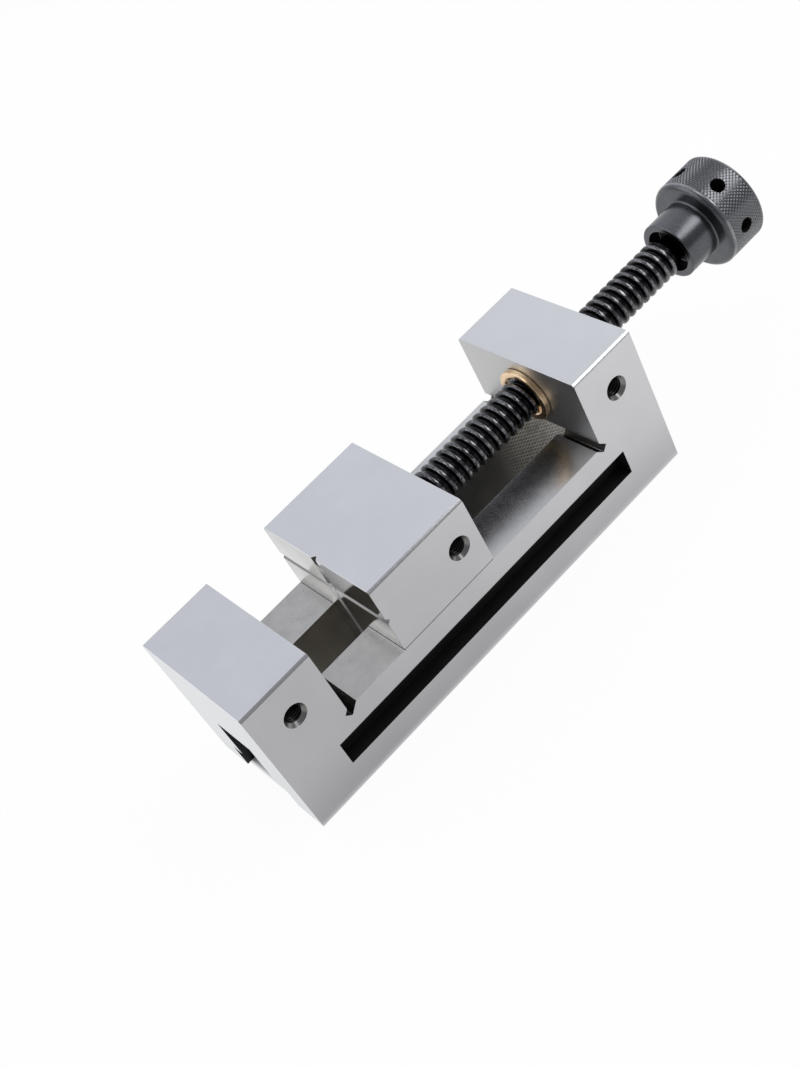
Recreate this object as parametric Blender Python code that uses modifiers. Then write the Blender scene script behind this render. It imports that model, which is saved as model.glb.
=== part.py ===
# Precision screw vise for toolmaking: a ground body, a sliding jaw, a lead screw and its knob.
# Lengths are in metres. X runs from the fixed jaw to the knob, Y across, Z up from the base.

import math

import bmesh
import bpy

# Vise body
BODY_LENGTH = 0.195
BODY_WIDTH = 0.063
BED_HEIGHT = 0.033
JAW_HEIGHT = 0.032
FIXED_JAW_LENGTH = 0.0315
REAR_BLOCK_LENGTH = 0.030
SLOT_WIDTH = 0.021
SLOT_CEILING_DROP = 0.001
RECESS_WIDTH = 0.033
RECESS_HEIGHT = 0.012
CLAMP_SLOT_END_WALL = 0.022
CLAMP_SLOT_BOTTOM = 0.012
CLAMP_SLOT_HEIGHT = 0.0112
CLAMP_SLOT_DEPTH = 0.007
RELIEF_WIDTH = 0.0032
REAR_RELIEF_DEPTH = 0.0022
FRONT_RELIEF_DEPTH = 0.0039
FRONT_RELIEF_FROM_JAW = 0.0021

# Tapped side holes, at the height of the screw
SIDE_HOLE_RADIUS = 0.0034
SIDE_HOLE_SINK_WIDTH = 0.001
SIDE_HOLE_DEPTH = 0.016
FRONT_HOLE_FROM_END = 0.016
REAR_HOLE_FROM_END = 0.014
JAW_HOLE_FROM_BACK = 0.0095

# Movable jaw
JAW_OPENING = 0.0289
JAW_LENGTH = 0.0462
VEE_DEPTH = 0.0015
NOSE_BORE_DEPTH = 0.024

# Hold-down plate and its fasteners
PLATE_FLOOR_CLEARANCE = 0.0015
PLATE_SETBACK = 0.001
PLATE_SCREW_INSET = 0.008
PLATE_SCREW_SPREAD = 0.011
CAP_HEAD_RADIUS = 0.00425
CAP_HEAD_HEIGHT = 0.005
CAP_SHANK_RADIUS = 0.0025
CAP_SHANK_LENGTH = 0.016
CAP_SOCKET_RADIUS = 0.0023
CAP_SOCKET_DEPTH = 0.0025
CAP_SINK_CLEARANCE = 0.00075
CAP_HEAD_SET_IN = 0.0004
WASHER_THICKNESS = 0.0012
WASHER_SPLIT = 0.0008

# Lead screw
THREAD_PITCH = 0.004
THREAD_TURNS = 34
THREAD_RADIUS = 0.008
THREAD_DEPTH = 0.00175
THREAD_CREST_WIDTH = 0.0015
THREAD_FLANK_WIDTH = 0.0006
THREAD_FROM_JAW = 0.0016
JOURNAL_STEP = 0.00025
GROOVE_DEPTH = 0.0015
SHANK_STEP = 0.00075
SHANK_BACKSET = 0.0005

# Thrust ball and set screws
BALL_RADIUS = 0.003
SET_SCREW_LENGTH = 0.009
SET_SCREW_SOCKET_RADIUS = 0.0023
SET_SCREW_SOCKET_DEPTH = 0.003
DOG_POINT_RADIUS = 0.0024

# Nut
NUT_WALL = 0.0026
NUT_FLANGE_OVERHANG = 0.0009
NUT_FLANGE_THICKNESS = 0.0022
NUT_REAR_SETBACK = 0.0005
NUT_MOUTH_CHAMFER = 0.0006

# Knob
HUB_FROM_THREAD = 0.0023
HUB_WALL = 0.0029
HUB_LENGTH = 0.0147
HUB_FILLET = 0.0008
HUB_RECESS_CLEARANCE = 0.0014
HUB_RECESS_DEPTH = 0.006
RIM_RADIUS = 0.0195
RIM_LENGTH = 0.0193
RIM_FRONT_ROUND = 0.0024
BAR_HOLE_COUNT = 6
BAR_HOLE_RADIUS = 0.003
BAR_HOLE_FLOOR = 0.009
BAR_HOLE_FROM_RIM_FRONT = 0.0093
BAR_HOLE_FIRST_ANGLE = math.radians(63)

# Edges, clearances and fineness of round shapes
CHAMFER = 0.001
SMALL_CHAMFER = 0.0004
GAP = 0.0003
CUT_PAST = 0.002
MERGE_DISTANCE = 0.000001
ROUND_STEPS = 32
SMALL_ROUND_STEPS = 20
THREAD_STEPS = 16
KNOB_ROUND_STEPS = 3
FILLET_STEPS = 2
SOCKET_SIDES = 6
SHARP_ANGLE = math.radians(35)
QUARTER_TURN = math.radians(90)
EMPTY_SIZE = 0.02

# Places that follow from the sizes above
BODY_HEIGHT = BED_HEIGHT + JAW_HEIGHT
SCREW_HEIGHT = BED_HEIGHT + JAW_HEIGHT / 2
REAR_BLOCK_X = BODY_LENGTH - REAR_BLOCK_LENGTH
JAW_X = FIXED_JAW_LENGTH + JAW_OPENING
JAW_BACK_X = JAW_X + JAW_LENGTH
JAW_HOLE_X = JAW_BACK_X - JAW_HOLE_FROM_BACK
NOSE_BORE_X = JAW_BACK_X - NOSE_BORE_DEPTH
BALL_X = NOSE_BORE_X + GAP + BALL_RADIUS
THREAD_X = JAW_BACK_X + THREAD_FROM_JAW
THREAD_END_X = THREAD_X + THREAD_TURNS * THREAD_PITCH
THREAD_ROOT_RADIUS = THREAD_RADIUS - THREAD_DEPTH
JOURNAL_RADIUS = THREAD_ROOT_RADIUS - JOURNAL_STEP
GROOVE_RADIUS = JOURNAL_RADIUS - GROOVE_DEPTH
SHANK_RADIUS = THREAD_ROOT_RADIUS - SHANK_STEP
NUT_RADIUS = THREAD_RADIUS + NUT_WALL
NUT_FLANGE_RADIUS = NUT_RADIUS + NUT_FLANGE_OVERHANG
HUB_RECESS_RADIUS = THREAD_RADIUS + HUB_RECESS_CLEARANCE
HUB_RADIUS = HUB_RECESS_RADIUS + HUB_WALL
HUB_X = THREAD_END_X + HUB_FROM_THREAD
RIM_X = HUB_X + HUB_LENGTH
KNOB_BACK_X = RIM_X + RIM_LENGTH
BAR_HOLE_X = RIM_X + BAR_HOLE_FROM_RIM_FRONT
PLATE_TOP = RECESS_HEIGHT - GAP
PLATE_THICKNESS = PLATE_TOP - PLATE_FLOOR_CLEARANCE
KEEL_BOTTOM = PLATE_TOP + GAP
CAP_SINK_RADIUS = CAP_HEAD_RADIUS + CAP_SINK_CLEARANCE
CAP_SINK_DEPTH = CAP_HEAD_SET_IN + CAP_HEAD_HEIGHT + WASHER_THICKNESS + 2 * GAP
CAP_SEAT_HEIGHT = PLATE_FLOOR_CLEARANCE + CAP_SINK_DEPTH - GAP - WASHER_THICKNESS
WASHER_RADIUS = CAP_SINK_RADIUS - 2 * GAP
SIDE_HOLE_SINK_RADIUS = SIDE_HOLE_RADIUS + SIDE_HOLE_SINK_WIDTH
OVERALL_LENGTH = KNOB_BACK_X

for old in list(bpy.data.objects):
    bpy.data.objects.remove(old)

parts = bpy.data.collections.new("precision_screw_vise")
cutters = bpy.data.collections.new("cutters")
cutters.hide_render = True
bpy.context.scene.collection.children.link(parts)
bpy.context.scene.collection.children.link(cutters)


def make_material(name, color, roughness, metallic):
    material = bpy.data.materials.new(name)
    material.use_nodes = True
    shader = material.node_tree.nodes["Principled BSDF"]
    shader.inputs["Base Color"].default_value = (*color, 1)
    shader.inputs["Roughness"].default_value = roughness
    shader.inputs["Metallic"].default_value = metallic
    return material


ground_steel = make_material("ground_steel", (0.56, 0.57, 0.59), 0.28, 1.0)
black_steel = make_material("black_steel", (0.035, 0.035, 0.04), 0.42, 0.8)
bronze = make_material("bronze", (0.70, 0.45, 0.22), 0.30, 1.0)
bright_steel = make_material("bright_steel", (0.45, 0.45, 0.46), 0.35, 1.0)


def make_empty(name, parent, x, z):
    empty = bpy.data.objects.new(name, None)
    empty.parent = parent
    empty.location = (x, 0, z)
    empty.empty_display_size = EMPTY_SIZE
    parts.objects.link(empty)
    return empty


# Everything hangs on three empties: the datum at the front end, the jaw's slide and the screw's axis.
datum = make_empty("vise_datum", None, -OVERALL_LENGTH / 2, 0)
jaw_carriage = make_empty("jaw_carriage", datum, JAW_X, BED_HEIGHT)
screw_axis = make_empty("screw_axis", jaw_carriage, THREAD_X - JAW_X, SCREW_HEIGHT - BED_HEIGHT)


def place(obj, parent, x, y, z):
    """Parents an object to an empty and puts it at a point given from the datum."""
    origins = {datum: (0, 0), jaw_carriage: (JAW_X, BED_HEIGHT), screw_axis: (THREAD_X, SCREW_HEIGHT)}
    origin_x, origin_z = origins[parent]
    obj.parent = parent
    obj.location = (x - origin_x, y, z - origin_z)


def add_part(name, mesh, material, parent, x, y, z):
    obj = bpy.data.objects.new(name, mesh)
    mesh.materials.clear()
    mesh.materials.append(material)
    parts.objects.link(obj)
    place(obj, parent, x, y, z)
    return obj


def box_mesh(size_x, size_y, size_z):
    """A box whose origin is the middle of its base."""
    mesh = bpy.data.meshes.new("box")
    shape = bmesh.new()
    bmesh.ops.create_cube(shape, size=1)
    bmesh.ops.translate(shape, verts=shape.verts, vec=(0, 0, 0.5))
    bmesh.ops.scale(shape, verts=shape.verts, vec=(size_x, size_y, size_z))
    shape.to_mesh(mesh)
    shape.free()
    return mesh


def rod_mesh(radius, length, steps):
    """A round or, with few steps, a many-sided rod that stands on its origin."""
    mesh = bpy.data.meshes.new("rod")
    shape = bmesh.new()
    bmesh.ops.create_cone(shape, cap_ends=True, segments=steps, radius1=radius, radius2=radius, depth=length)
    bmesh.ops.translate(shape, verts=shape.verts, vec=(0, 0, length / 2))
    shape.to_mesh(mesh)
    shape.free()
    return mesh


def evaluated_mesh(obj):
    """The object's mesh with its modifiers applied. The object itself is removed."""
    bpy.context.view_layer.update()
    graph = bpy.context.evaluated_depsgraph_get()
    mesh = bpy.data.meshes.new_from_object(obj.evaluated_get(graph))
    bpy.data.objects.remove(obj)
    return mesh


def outline_mesh(points, thickness):
    """A flat outline in the object's XY plane, made solid by half its thickness each way."""
    curve = bpy.data.curves.new("outline", "CURVE")
    curve.dimensions = "2D"
    curve.fill_mode = "NONE"
    curve.extrude = thickness / 2
    spline = curve.splines.new("POLY")
    spline.points.add(len(points) - 1)
    for place_in_spline, (x, y) in zip(spline.points, points):
        place_in_spline.co = (x, y, 0, 1)
    spline.use_cyclic_u = True
    obj = bpy.data.objects.new("outline", curve)
    parts.objects.link(obj)
    mesh = evaluated_mesh(obj)
    shape = bmesh.new()
    shape.from_mesh(mesh)
    bmesh.ops.remove_doubles(shape, verts=shape.verts, dist=MERGE_DISTANCE)
    bmesh.ops.holes_fill(shape, edges=shape.edges)
    bmesh.ops.recalc_face_normals(shape, faces=shape.faces)
    shape.to_mesh(mesh)
    shape.free()
    return mesh


def turned_mesh(profile, steps):
    """A profile of (radius, height) points turned about Z. It runs down the outer side."""
    line = bpy.data.meshes.new("profile")
    shape = bmesh.new()
    ends_on_axis = profile[0][0] == 0 and profile[-1][0] == 0
    verts = [shape.verts.new((radius, 0, height)) for radius, height in profile]
    for first, second in zip(verts, verts[1:]):
        shape.edges.new((first, second))
    if not ends_on_axis:
        shape.edges.new((verts[-1], verts[0]))
    shape.to_mesh(line)
    shape.free()
    obj = bpy.data.objects.new("profile", line)
    parts.objects.link(obj)
    screw = obj.modifiers.new("Screw", "SCREW")
    screw.axis = "Z"
    screw.steps = steps
    screw.render_steps = steps
    screw.use_merge_vertices = True
    screw.merge_threshold = MERGE_DISTANCE
    return evaluated_mesh(obj)


def smooth(obj):
    obj.data.shade_smooth()
    obj.data.set_sharp_from_angle(angle=SHARP_ANGLE)


def turn_along_x(obj):
    """Lays a piece that was built along Z so that its height runs towards +X."""
    obj.rotation_euler = (0, QUARTER_TURN, 0)


def chamfer_edges(obj, weight_of):
    """Chamfers each sharp edge by the share of CHAMFER that weight_of gives its middle."""
    weights = obj.data.attributes.new("bevel_weight_edge", "FLOAT", "EDGE")
    for edge in obj.data.edges:
        first, second = (obj.data.vertices[index].co for index in edge.vertices)
        weights.data[edge.index].value = weight_of((first + second) / 2)
    bevel = obj.modifiers.new("Chamfer", "BEVEL")
    bevel.limit_method = "WEIGHT"
    bevel.width = CHAMFER
    bevel.segments = 1


def cut(target, mesh, parent, x, y, z, rotation=(0, 0, 0)):
    """Takes a cutter's shape out of the target."""
    cutter = bpy.data.objects.new(f"{target.name}_cutter", mesh)
    cutters.objects.link(cutter)
    cutter.display_type = "WIRE"
    cutter.hide_render = True
    cutter.rotation_euler = rotation
    place(cutter, parent, x, y, z)
    boolean = target.modifiers.new("Cut", "BOOLEAN")
    boolean.operation = "DIFFERENCE"
    boolean.solver = "EXACT"
    boolean.object = cutter


def side_hole_mesh(depth):
    """A countersunk drilled hole of a given depth, standing up from its bottom."""
    profile = [
        (0, depth + CUT_PAST),
        (SIDE_HOLE_SINK_RADIUS + CUT_PAST, depth + CUT_PAST),
        (SIDE_HOLE_RADIUS, depth - SIDE_HOLE_SINK_WIDTH),
        (SIDE_HOLE_RADIUS, 0),
        (0, 0),
    ]
    return turned_mesh(profile, SMALL_ROUND_STEPS)


def cut_side_holes(target, parent, x, depth):
    """A tapped hole's bore in each side of the body or of the jaw, at the height of the screw."""
    for side in (-1, 1):
        cut(
            target,
            side_hole_mesh(depth),
            parent,
            x,
            side * (BODY_WIDTH / 2 - depth),
            SCREW_HEIGHT,
            rotation=(-side * QUARTER_TURN, 0, 0),
        )


def body_outline():
    """The side view of the body: fixed jaw, bed and rear block."""
    return [
        (0, 0),
        (BODY_LENGTH, 0),
        (BODY_LENGTH, BODY_HEIGHT),
        (REAR_BLOCK_X, BODY_HEIGHT),
        (REAR_BLOCK_X, BED_HEIGHT),
        (FIXED_JAW_LENGTH, BED_HEIGHT),
        (FIXED_JAW_LENGTH, BODY_HEIGHT),
        (0, BODY_HEIGHT),
    ]


def body_edge_weight(middle):
    """Full chamfers on the top's long edges, half ones elsewhere. Y is the body's height, Z its width."""
    if middle.y > BODY_HEIGHT - CHAMFER and abs(middle.z) > BODY_WIDTH / 2 - CHAMFER:
        return 1.0
    return SMALL_CHAMFER / CHAMFER


def cut_central_slot(body):
    """The slot between the rails, its run under both ends, and the wider recess below it."""
    low = -CUT_PAST
    whole_length = BODY_LENGTH + 2 * CUT_PAST
    middle_x = BODY_LENGTH / 2
    under_height = BED_HEIGHT - SLOT_CEILING_DROP - low
    cut(body, box_mesh(whole_length, SLOT_WIDTH, under_height), datum, middle_x, 0, low)
    cut(body, box_mesh(whole_length, RECESS_WIDTH, RECESS_HEIGHT - low), datum, middle_x, 0, low)
    bed_length = REAR_BLOCK_X - FIXED_JAW_LENGTH - 2 * GAP
    bed_middle = (REAR_BLOCK_X + FIXED_JAW_LENGTH) / 2
    cut(body, box_mesh(bed_length, SLOT_WIDTH, JAW_HEIGHT), datum, bed_middle, 0, RECESS_HEIGHT + CUT_PAST)


def cut_clamp_slots(body):
    """The long slot in each side that clamps reach into."""
    length = BODY_LENGTH - 2 * CLAMP_SLOT_END_WALL
    for side in (-1, 1):
        slot = box_mesh(length, 2 * CLAMP_SLOT_DEPTH, CLAMP_SLOT_HEIGHT)
        cut(body, slot, datum, BODY_LENGTH / 2, side * BODY_WIDTH / 2, CLAMP_SLOT_BOTTOM)


def cut_relief(body, mouth_x, depth, lean):
    """A 45 degree groove at an inner corner of the bed, so that work seats against the jaw."""
    groove = box_mesh(RELIEF_WIDTH, BODY_WIDTH + 2 * CUT_PAST, depth + RELIEF_WIDTH)
    reach = depth / math.sqrt(2)
    floor_x = mouth_x - lean * reach
    cut(body, groove, datum, floor_x, 0, BED_HEIGHT - reach, rotation=(0, lean * math.radians(45), 0))


def make_body():
    mesh = outline_mesh(body_outline(), BODY_WIDTH)
    body = add_part("vise_body", mesh, ground_steel, datum, 0, 0, 0)
    body.rotation_euler = (QUARTER_TURN, 0, 0)
    chamfer_edges(body, body_edge_weight)
    cut_central_slot(body)
    cut_clamp_slots(body)
    cut_relief(body, FIXED_JAW_LENGTH + FRONT_RELIEF_FROM_JAW, FRONT_RELIEF_DEPTH, 1)
    cut_relief(body, REAR_BLOCK_X, REAR_RELIEF_DEPTH, -1)
    cut_side_holes(body, datum, FRONT_HOLE_FROM_END, SIDE_HOLE_DEPTH)
    bore_length = REAR_BLOCK_LENGTH + 2 * CUT_PAST
    cut(
        body,
        rod_mesh(NUT_RADIUS + GAP, bore_length, ROUND_STEPS),
        datum,
        REAR_BLOCK_X - CUT_PAST,
        0,
        SCREW_HEIGHT,
        rotation=(0, QUARTER_TURN, 0),
    )
    cut_side_holes(body, datum, BODY_LENGTH - REAR_HOLE_FROM_END, BODY_WIDTH / 2)


def jaw_outline():
    """The end view of the jaw: block above the bed, keel in the slot. Y is measured from the bed."""
    half = BODY_WIDTH / 2
    keel = SLOT_WIDTH / 2 - GAP
    keel_low = KEEL_BOTTOM - BED_HEIGHT
    return [
        (-half, JAW_HEIGHT),
        (-half, GAP),
        (-keel, GAP),
        (-keel, keel_low),
        (keel, keel_low),
        (keel, GAP),
        (half, GAP),
        (half, JAW_HEIGHT),
    ]


def jaw_edge_weight(middle):
    """Full chamfers on the top's long edges, half ones above the bed and none where it meets the bed."""
    if middle.y > JAW_HEIGHT - CHAMFER and abs(middle.x) > BODY_WIDTH / 2 - CHAMFER:
        return 1.0
    if middle.y > GAP + CHAMFER:
        return SMALL_CHAMFER / CHAMFER
    return 0.0


def cut_vee_grooves(jaw):
    """A 90 degree groove across the jaw face at the height of the screw, and one down its middle."""
    side = VEE_DEPTH * math.sqrt(2)
    across = BODY_WIDTH + 2 * CUT_PAST
    tall = BODY_HEIGHT - KEEL_BOTTOM + 2 * CUT_PAST
    lying = box_mesh(side, across, side)
    cut(jaw, lying, jaw_carriage, JAW_X - VEE_DEPTH, 0, SCREW_HEIGHT, rotation=(0, math.radians(45), 0))
    upright = box_mesh(side, side, tall)
    low = KEEL_BOTTOM - CUT_PAST
    cut(jaw, upright, jaw_carriage, JAW_X, 0, low, rotation=(0, 0, math.radians(45)))


def plate_screw_places():
    """The X and Y of the four cap screws that hold the plate to the keel."""
    front = JAW_X + PLATE_SCREW_INSET
    back = JAW_BACK_X - PLATE_SCREW_INSET
    half = PLATE_SCREW_SPREAD / 2
    return [(front, -half), (front, half), (back, -half), (back, half)]


def make_jaw():
    mesh = outline_mesh(jaw_outline(), JAW_LENGTH)
    jaw = add_part("movable_jaw", mesh, ground_steel, jaw_carriage, JAW_X + JAW_LENGTH / 2, 0, BED_HEIGHT)
    jaw.rotation_euler = (QUARTER_TURN, 0, QUARTER_TURN)
    chamfer_edges(jaw, jaw_edge_weight)
    cut_vee_grooves(jaw)
    bore = rod_mesh(JOURNAL_RADIUS + GAP, NOSE_BORE_DEPTH + CUT_PAST, SMALL_ROUND_STEPS)
    turned = (0, QUARTER_TURN, 0)
    cut(jaw, bore, jaw_carriage, NOSE_BORE_X, 0, SCREW_HEIGHT, rotation=turned)
    cut_side_holes(jaw, jaw_carriage, JAW_HOLE_X, BODY_WIDTH / 2)
    hole_top = CAP_SEAT_HEIGHT + WASHER_THICKNESS + CAP_SHANK_LENGTH
    for x, y in plate_screw_places():
        hole = rod_mesh(CAP_SHANK_RADIUS + GAP, hole_top - PLATE_TOP, SMALL_ROUND_STEPS)
        cut(jaw, hole, jaw_carriage, x, y, PLATE_TOP)


def make_hold_down_plate():
    length = JAW_LENGTH - 2 * PLATE_SETBACK
    mesh = box_mesh(length, RECESS_WIDTH - 2 * GAP, PLATE_THICKNESS)
    middle_x = JAW_X + JAW_LENGTH / 2
    plate = add_part("hold_down_plate", mesh, bright_steel, jaw_carriage, middle_x, 0, PLATE_FLOOR_CLEARANCE)
    chamfer_edges(plate, lambda middle: SMALL_CHAMFER / CHAMFER)
    for x, y in plate_screw_places():
        low = PLATE_FLOOR_CLEARANCE - CUT_PAST
        sink = rod_mesh(CAP_SINK_RADIUS, CAP_SINK_DEPTH + CUT_PAST, SMALL_ROUND_STEPS)
        cut(plate, sink, jaw_carriage, x, y, low)
        hole = rod_mesh(CAP_SHANK_RADIUS + GAP, PLATE_THICKNESS + 2 * CUT_PAST, SMALL_ROUND_STEPS)
        cut(plate, hole, jaw_carriage, x, y, low)


def cap_screw_mesh():
    """A socket cap screw that stands on its head, with its shank up from the origin."""
    edge = SMALL_CHAMFER
    profile = [
        (0, CAP_SHANK_LENGTH - GAP),
        (CAP_SHANK_RADIUS - edge, CAP_SHANK_LENGTH - GAP),
        (CAP_SHANK_RADIUS, CAP_SHANK_LENGTH - GAP - edge),
        (CAP_SHANK_RADIUS, 0),
        (CAP_HEAD_RADIUS, 0),
        (CAP_HEAD_RADIUS, -CAP_HEAD_HEIGHT + edge),
        (CAP_HEAD_RADIUS - edge, -CAP_HEAD_HEIGHT),
        (0, -CAP_HEAD_HEIGHT),
    ]
    return turned_mesh(profile, SMALL_ROUND_STEPS)


def make_hold_down_screws():
    for number, (x, y) in enumerate(plate_screw_places(), start=1):
        name = f"hold_down_screw_{number}"
        head_top = CAP_SEAT_HEIGHT - GAP
        screw = add_part(name, cap_screw_mesh(), black_steel, jaw_carriage, x, y, head_top)
        socket = rod_mesh(CAP_SOCKET_RADIUS, CAP_SOCKET_DEPTH + CUT_PAST, SOCKET_SIDES)
        cut(screw, socket, jaw_carriage, x, y, head_top - CAP_HEAD_HEIGHT - CUT_PAST)
        smooth(screw)


def make_lock_washers():
    profile = [
        (WASHER_RADIUS, WASHER_THICKNESS),
        (WASHER_RADIUS, 0),
        (CAP_SHANK_RADIUS + GAP, 0),
        (CAP_SHANK_RADIUS + GAP, WASHER_THICKNESS),
    ]
    for number, (x, y) in enumerate(plate_screw_places(), start=1):
        mesh = turned_mesh(profile, SMALL_ROUND_STEPS)
        washer = add_part(f"lock_washer_{number}", mesh, black_steel, jaw_carriage, x, y, CAP_SEAT_HEIGHT)
        split = box_mesh(2 * WASHER_RADIUS, WASHER_SPLIT, WASHER_THICKNESS + 2 * CUT_PAST)
        cut(washer, split, jaw_carriage, x + WASHER_RADIUS, y, CAP_SEAT_HEIGHT - CUT_PAST)
        smooth(washer)


def thread_profile(grow):
    """One pitch of the thread as (radius, height), each face moved out by grow."""
    lean = math.atan2(THREAD_FLANK_WIDTH, THREAD_DEPTH)
    widen = grow / math.cos(lean) - grow * math.tan(lean)
    crest_half = THREAD_CREST_WIDTH / 2 + widen
    foot_half = crest_half + THREAD_FLANK_WIDTH
    root = THREAD_ROOT_RADIUS + grow
    crest = THREAD_RADIUS + grow
    middle = THREAD_PITCH / 2
    return [
        (root, THREAD_PITCH),
        (root, middle + foot_half),
        (crest, middle + crest_half),
        (crest, middle - crest_half),
        (root, middle - foot_half),
        (root, 0),
    ]


def open_thread(grow, turns):
    """The thread's surface as a right-hand helix about Z, still open at both ends."""
    line = bpy.data.meshes.new("thread")
    shape = bmesh.new()
    verts = [shape.verts.new((radius, 0, height)) for radius, height in thread_profile(grow)]
    for first, second in zip(verts, verts[1:]):
        shape.edges.new((first, second))
    shape.to_mesh(line)
    shape.free()
    obj = bpy.data.objects.new("thread", line)
    parts.objects.link(obj)
    screw = obj.modifiers.new("Screw", "SCREW")
    screw.axis = "Z"
    screw.steps = THREAD_STEPS
    screw.render_steps = THREAD_STEPS
    screw.screw_offset = THREAD_PITCH
    screw.iterations = turns
    screw.use_merge_vertices = True
    screw.merge_threshold = MERGE_DISTANCE
    return evaluated_mesh(obj)


def pull_end(shape, edges, radius, height):
    """Draws an open end out to a ring of one radius and height, and gives the ring's edges."""
    made = bmesh.ops.extrude_edge_only(shape, edges=edges)["geom"]
    for vert in (item for item in made if isinstance(item, bmesh.types.BMVert)):
        angle = math.atan2(vert.co.y, vert.co.x)
        vert.co = (radius * math.cos(angle), radius * math.sin(angle), height)
    bmesh.ops.remove_doubles(shape, verts=shape.verts, dist=MERGE_DISTANCE)
    border = (edge for edge in shape.edges if edge.is_boundary)
    return [edge for edge in border if all(abs(vert.co.z - height) < MERGE_DISTANCE for vert in edge.verts)]


def turned_on(mesh, low_steps, high_steps):
    """Closes a thread with turned steps of (radius, height) below and above it."""
    shape = bmesh.new()
    shape.from_mesh(mesh)
    bmesh.ops.remove_doubles(shape, verts=shape.verts, dist=MERGE_DISTANCE)
    middle = sum(vert.co.z for vert in shape.verts) / len(shape.verts)
    border = [edge for edge in shape.edges if edge.is_boundary]
    low = [edge for edge in border if edge.verts[0].co.z < middle]
    high = [edge for edge in border if edge.verts[0].co.z > middle]
    for edges, steps in ((low, low_steps), (high, high_steps)):
        for radius, height in steps:
            edges = pull_end(shape, edges, radius, height)
        bmesh.ops.contextual_create(shape, geom=edges)
    bmesh.ops.recalc_face_normals(shape, faces=shape.faces)
    shape.to_mesh(mesh)
    shape.free()
    return mesh


def make_lead_screw():
    """The screw's origin is on its axis where the thread starts, and its height runs to the knob."""
    groove_half = DOG_POINT_RADIUS + GAP
    groove_z = JAW_HOLE_X - THREAD_X
    nose_z = BALL_X - THREAD_X
    thread_z = THREAD_TURNS * THREAD_PITCH
    shank_z = KNOB_BACK_X - SHANK_BACKSET - THREAD_X
    nose = [
        (JOURNAL_RADIUS, 0),
        (JOURNAL_RADIUS, groove_z + groove_half),
        (GROOVE_RADIUS, groove_z + groove_half),
        (GROOVE_RADIUS, groove_z - groove_half),
        (JOURNAL_RADIUS, groove_z - groove_half),
        (JOURNAL_RADIUS, nose_z + SMALL_CHAMFER),
        (JOURNAL_RADIUS - SMALL_CHAMFER, nose_z),
    ]
    shank = [
        (SHANK_RADIUS, thread_z),
        (SHANK_RADIUS, shank_z - SMALL_CHAMFER),
        (SHANK_RADIUS - SMALL_CHAMFER, shank_z),
    ]
    mesh = turned_on(open_thread(0, THREAD_TURNS - 1), nose, shank)
    screw = add_part("lead_screw", mesh, black_steel, screw_axis, THREAD_X, 0, SCREW_HEIGHT)
    turn_along_x(screw)
    pocket = rod_mesh(BALL_RADIUS + GAP, 2 * BALL_RADIUS, SMALL_ROUND_STEPS)
    along_x = (0, QUARTER_TURN, 0)
    pocket_x = BALL_X + GAP - BALL_RADIUS
    cut(screw, pocket, screw_axis, pocket_x, 0, SCREW_HEIGHT, rotation=along_x)
    cut(
        screw,
        rod_mesh(BAR_HOLE_RADIUS, 2 * RIM_RADIUS, SMALL_ROUND_STEPS),
        screw_axis,
        BAR_HOLE_X,
        -RIM_RADIUS * math.cos(BAR_HOLE_FIRST_ANGLE),
        SCREW_HEIGHT - RIM_RADIUS * math.sin(BAR_HOLE_FIRST_ANGLE),
        rotation=(BAR_HOLE_FIRST_ANGLE - QUARTER_TURN, 0, 0),
    )
    smooth(screw)


def make_thrust_ball():
    mesh = bpy.data.meshes.new("ball")
    shape = bmesh.new()
    rings = SMALL_ROUND_STEPS // 2
    bmesh.ops.create_uvsphere(shape, u_segments=SMALL_ROUND_STEPS, v_segments=rings, radius=BALL_RADIUS)
    shape.to_mesh(mesh)
    shape.free()
    ball = add_part("thrust_ball", mesh, bright_steel, jaw_carriage, BALL_X, 0, SCREW_HEIGHT)
    smooth(ball)


def set_screw_mesh(point_radius, point_length):
    """A set screw that stands on the tip of its point."""
    radius = SIDE_HOLE_RADIUS - GAP
    top = point_length + SET_SCREW_LENGTH
    edge = SMALL_CHAMFER
    profile = [
        (0, top),
        (radius - edge, top),
        (radius, top - edge),
        (radius, point_length + edge),
        (radius - edge, point_length),
        (point_radius, point_length),
        (point_radius, 0),
        (0, 0),
    ]
    return turned_mesh(profile, SMALL_ROUND_STEPS)


def add_set_screw(name, parent, x, side, tip, point_radius, point_length):
    """A set screw in a side hole, with its tip at a distance from the screw's axis."""
    turned = (-side * QUARTER_TURN, 0, 0)
    mesh = set_screw_mesh(point_radius, point_length)
    obj = add_part(name, mesh, black_steel, parent, x, side * tip, SCREW_HEIGHT)
    obj.rotation_euler = turned
    socket_floor = tip + point_length + SET_SCREW_LENGTH - SET_SCREW_SOCKET_DEPTH
    socket = rod_mesh(SET_SCREW_SOCKET_RADIUS, SET_SCREW_SOCKET_DEPTH + CUT_PAST, SOCKET_SIDES)
    cut(obj, socket, parent, x, side * socket_floor, SCREW_HEIGHT, rotation=turned)
    smooth(obj)


def make_retaining_screws():
    """Their dog points run in the groove of the screw's nose and clear the bore's wall."""
    tip = GROOVE_RADIUS + GAP
    point_length = JOURNAL_RADIUS + 2 * GAP - tip
    for word, side in (("left", -1), ("right", 1)):
        name = f"retaining_screw_{word}"
        add_set_screw(name, jaw_carriage, JAW_HOLE_X, side, tip, DOG_POINT_RADIUS, point_length)


def make_nut_lock_screws():
    """They press on the nut from both sides of the rear block."""
    tip = NUT_RADIUS + GAP
    x = BODY_LENGTH - REAR_HOLE_FROM_END
    for word, side in (("left", -1), ("right", 1)):
        add_set_screw(f"nut_lock_screw_{word}", datum, x, side, tip, DOG_POINT_RADIUS, SMALL_CHAMFER)


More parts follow.
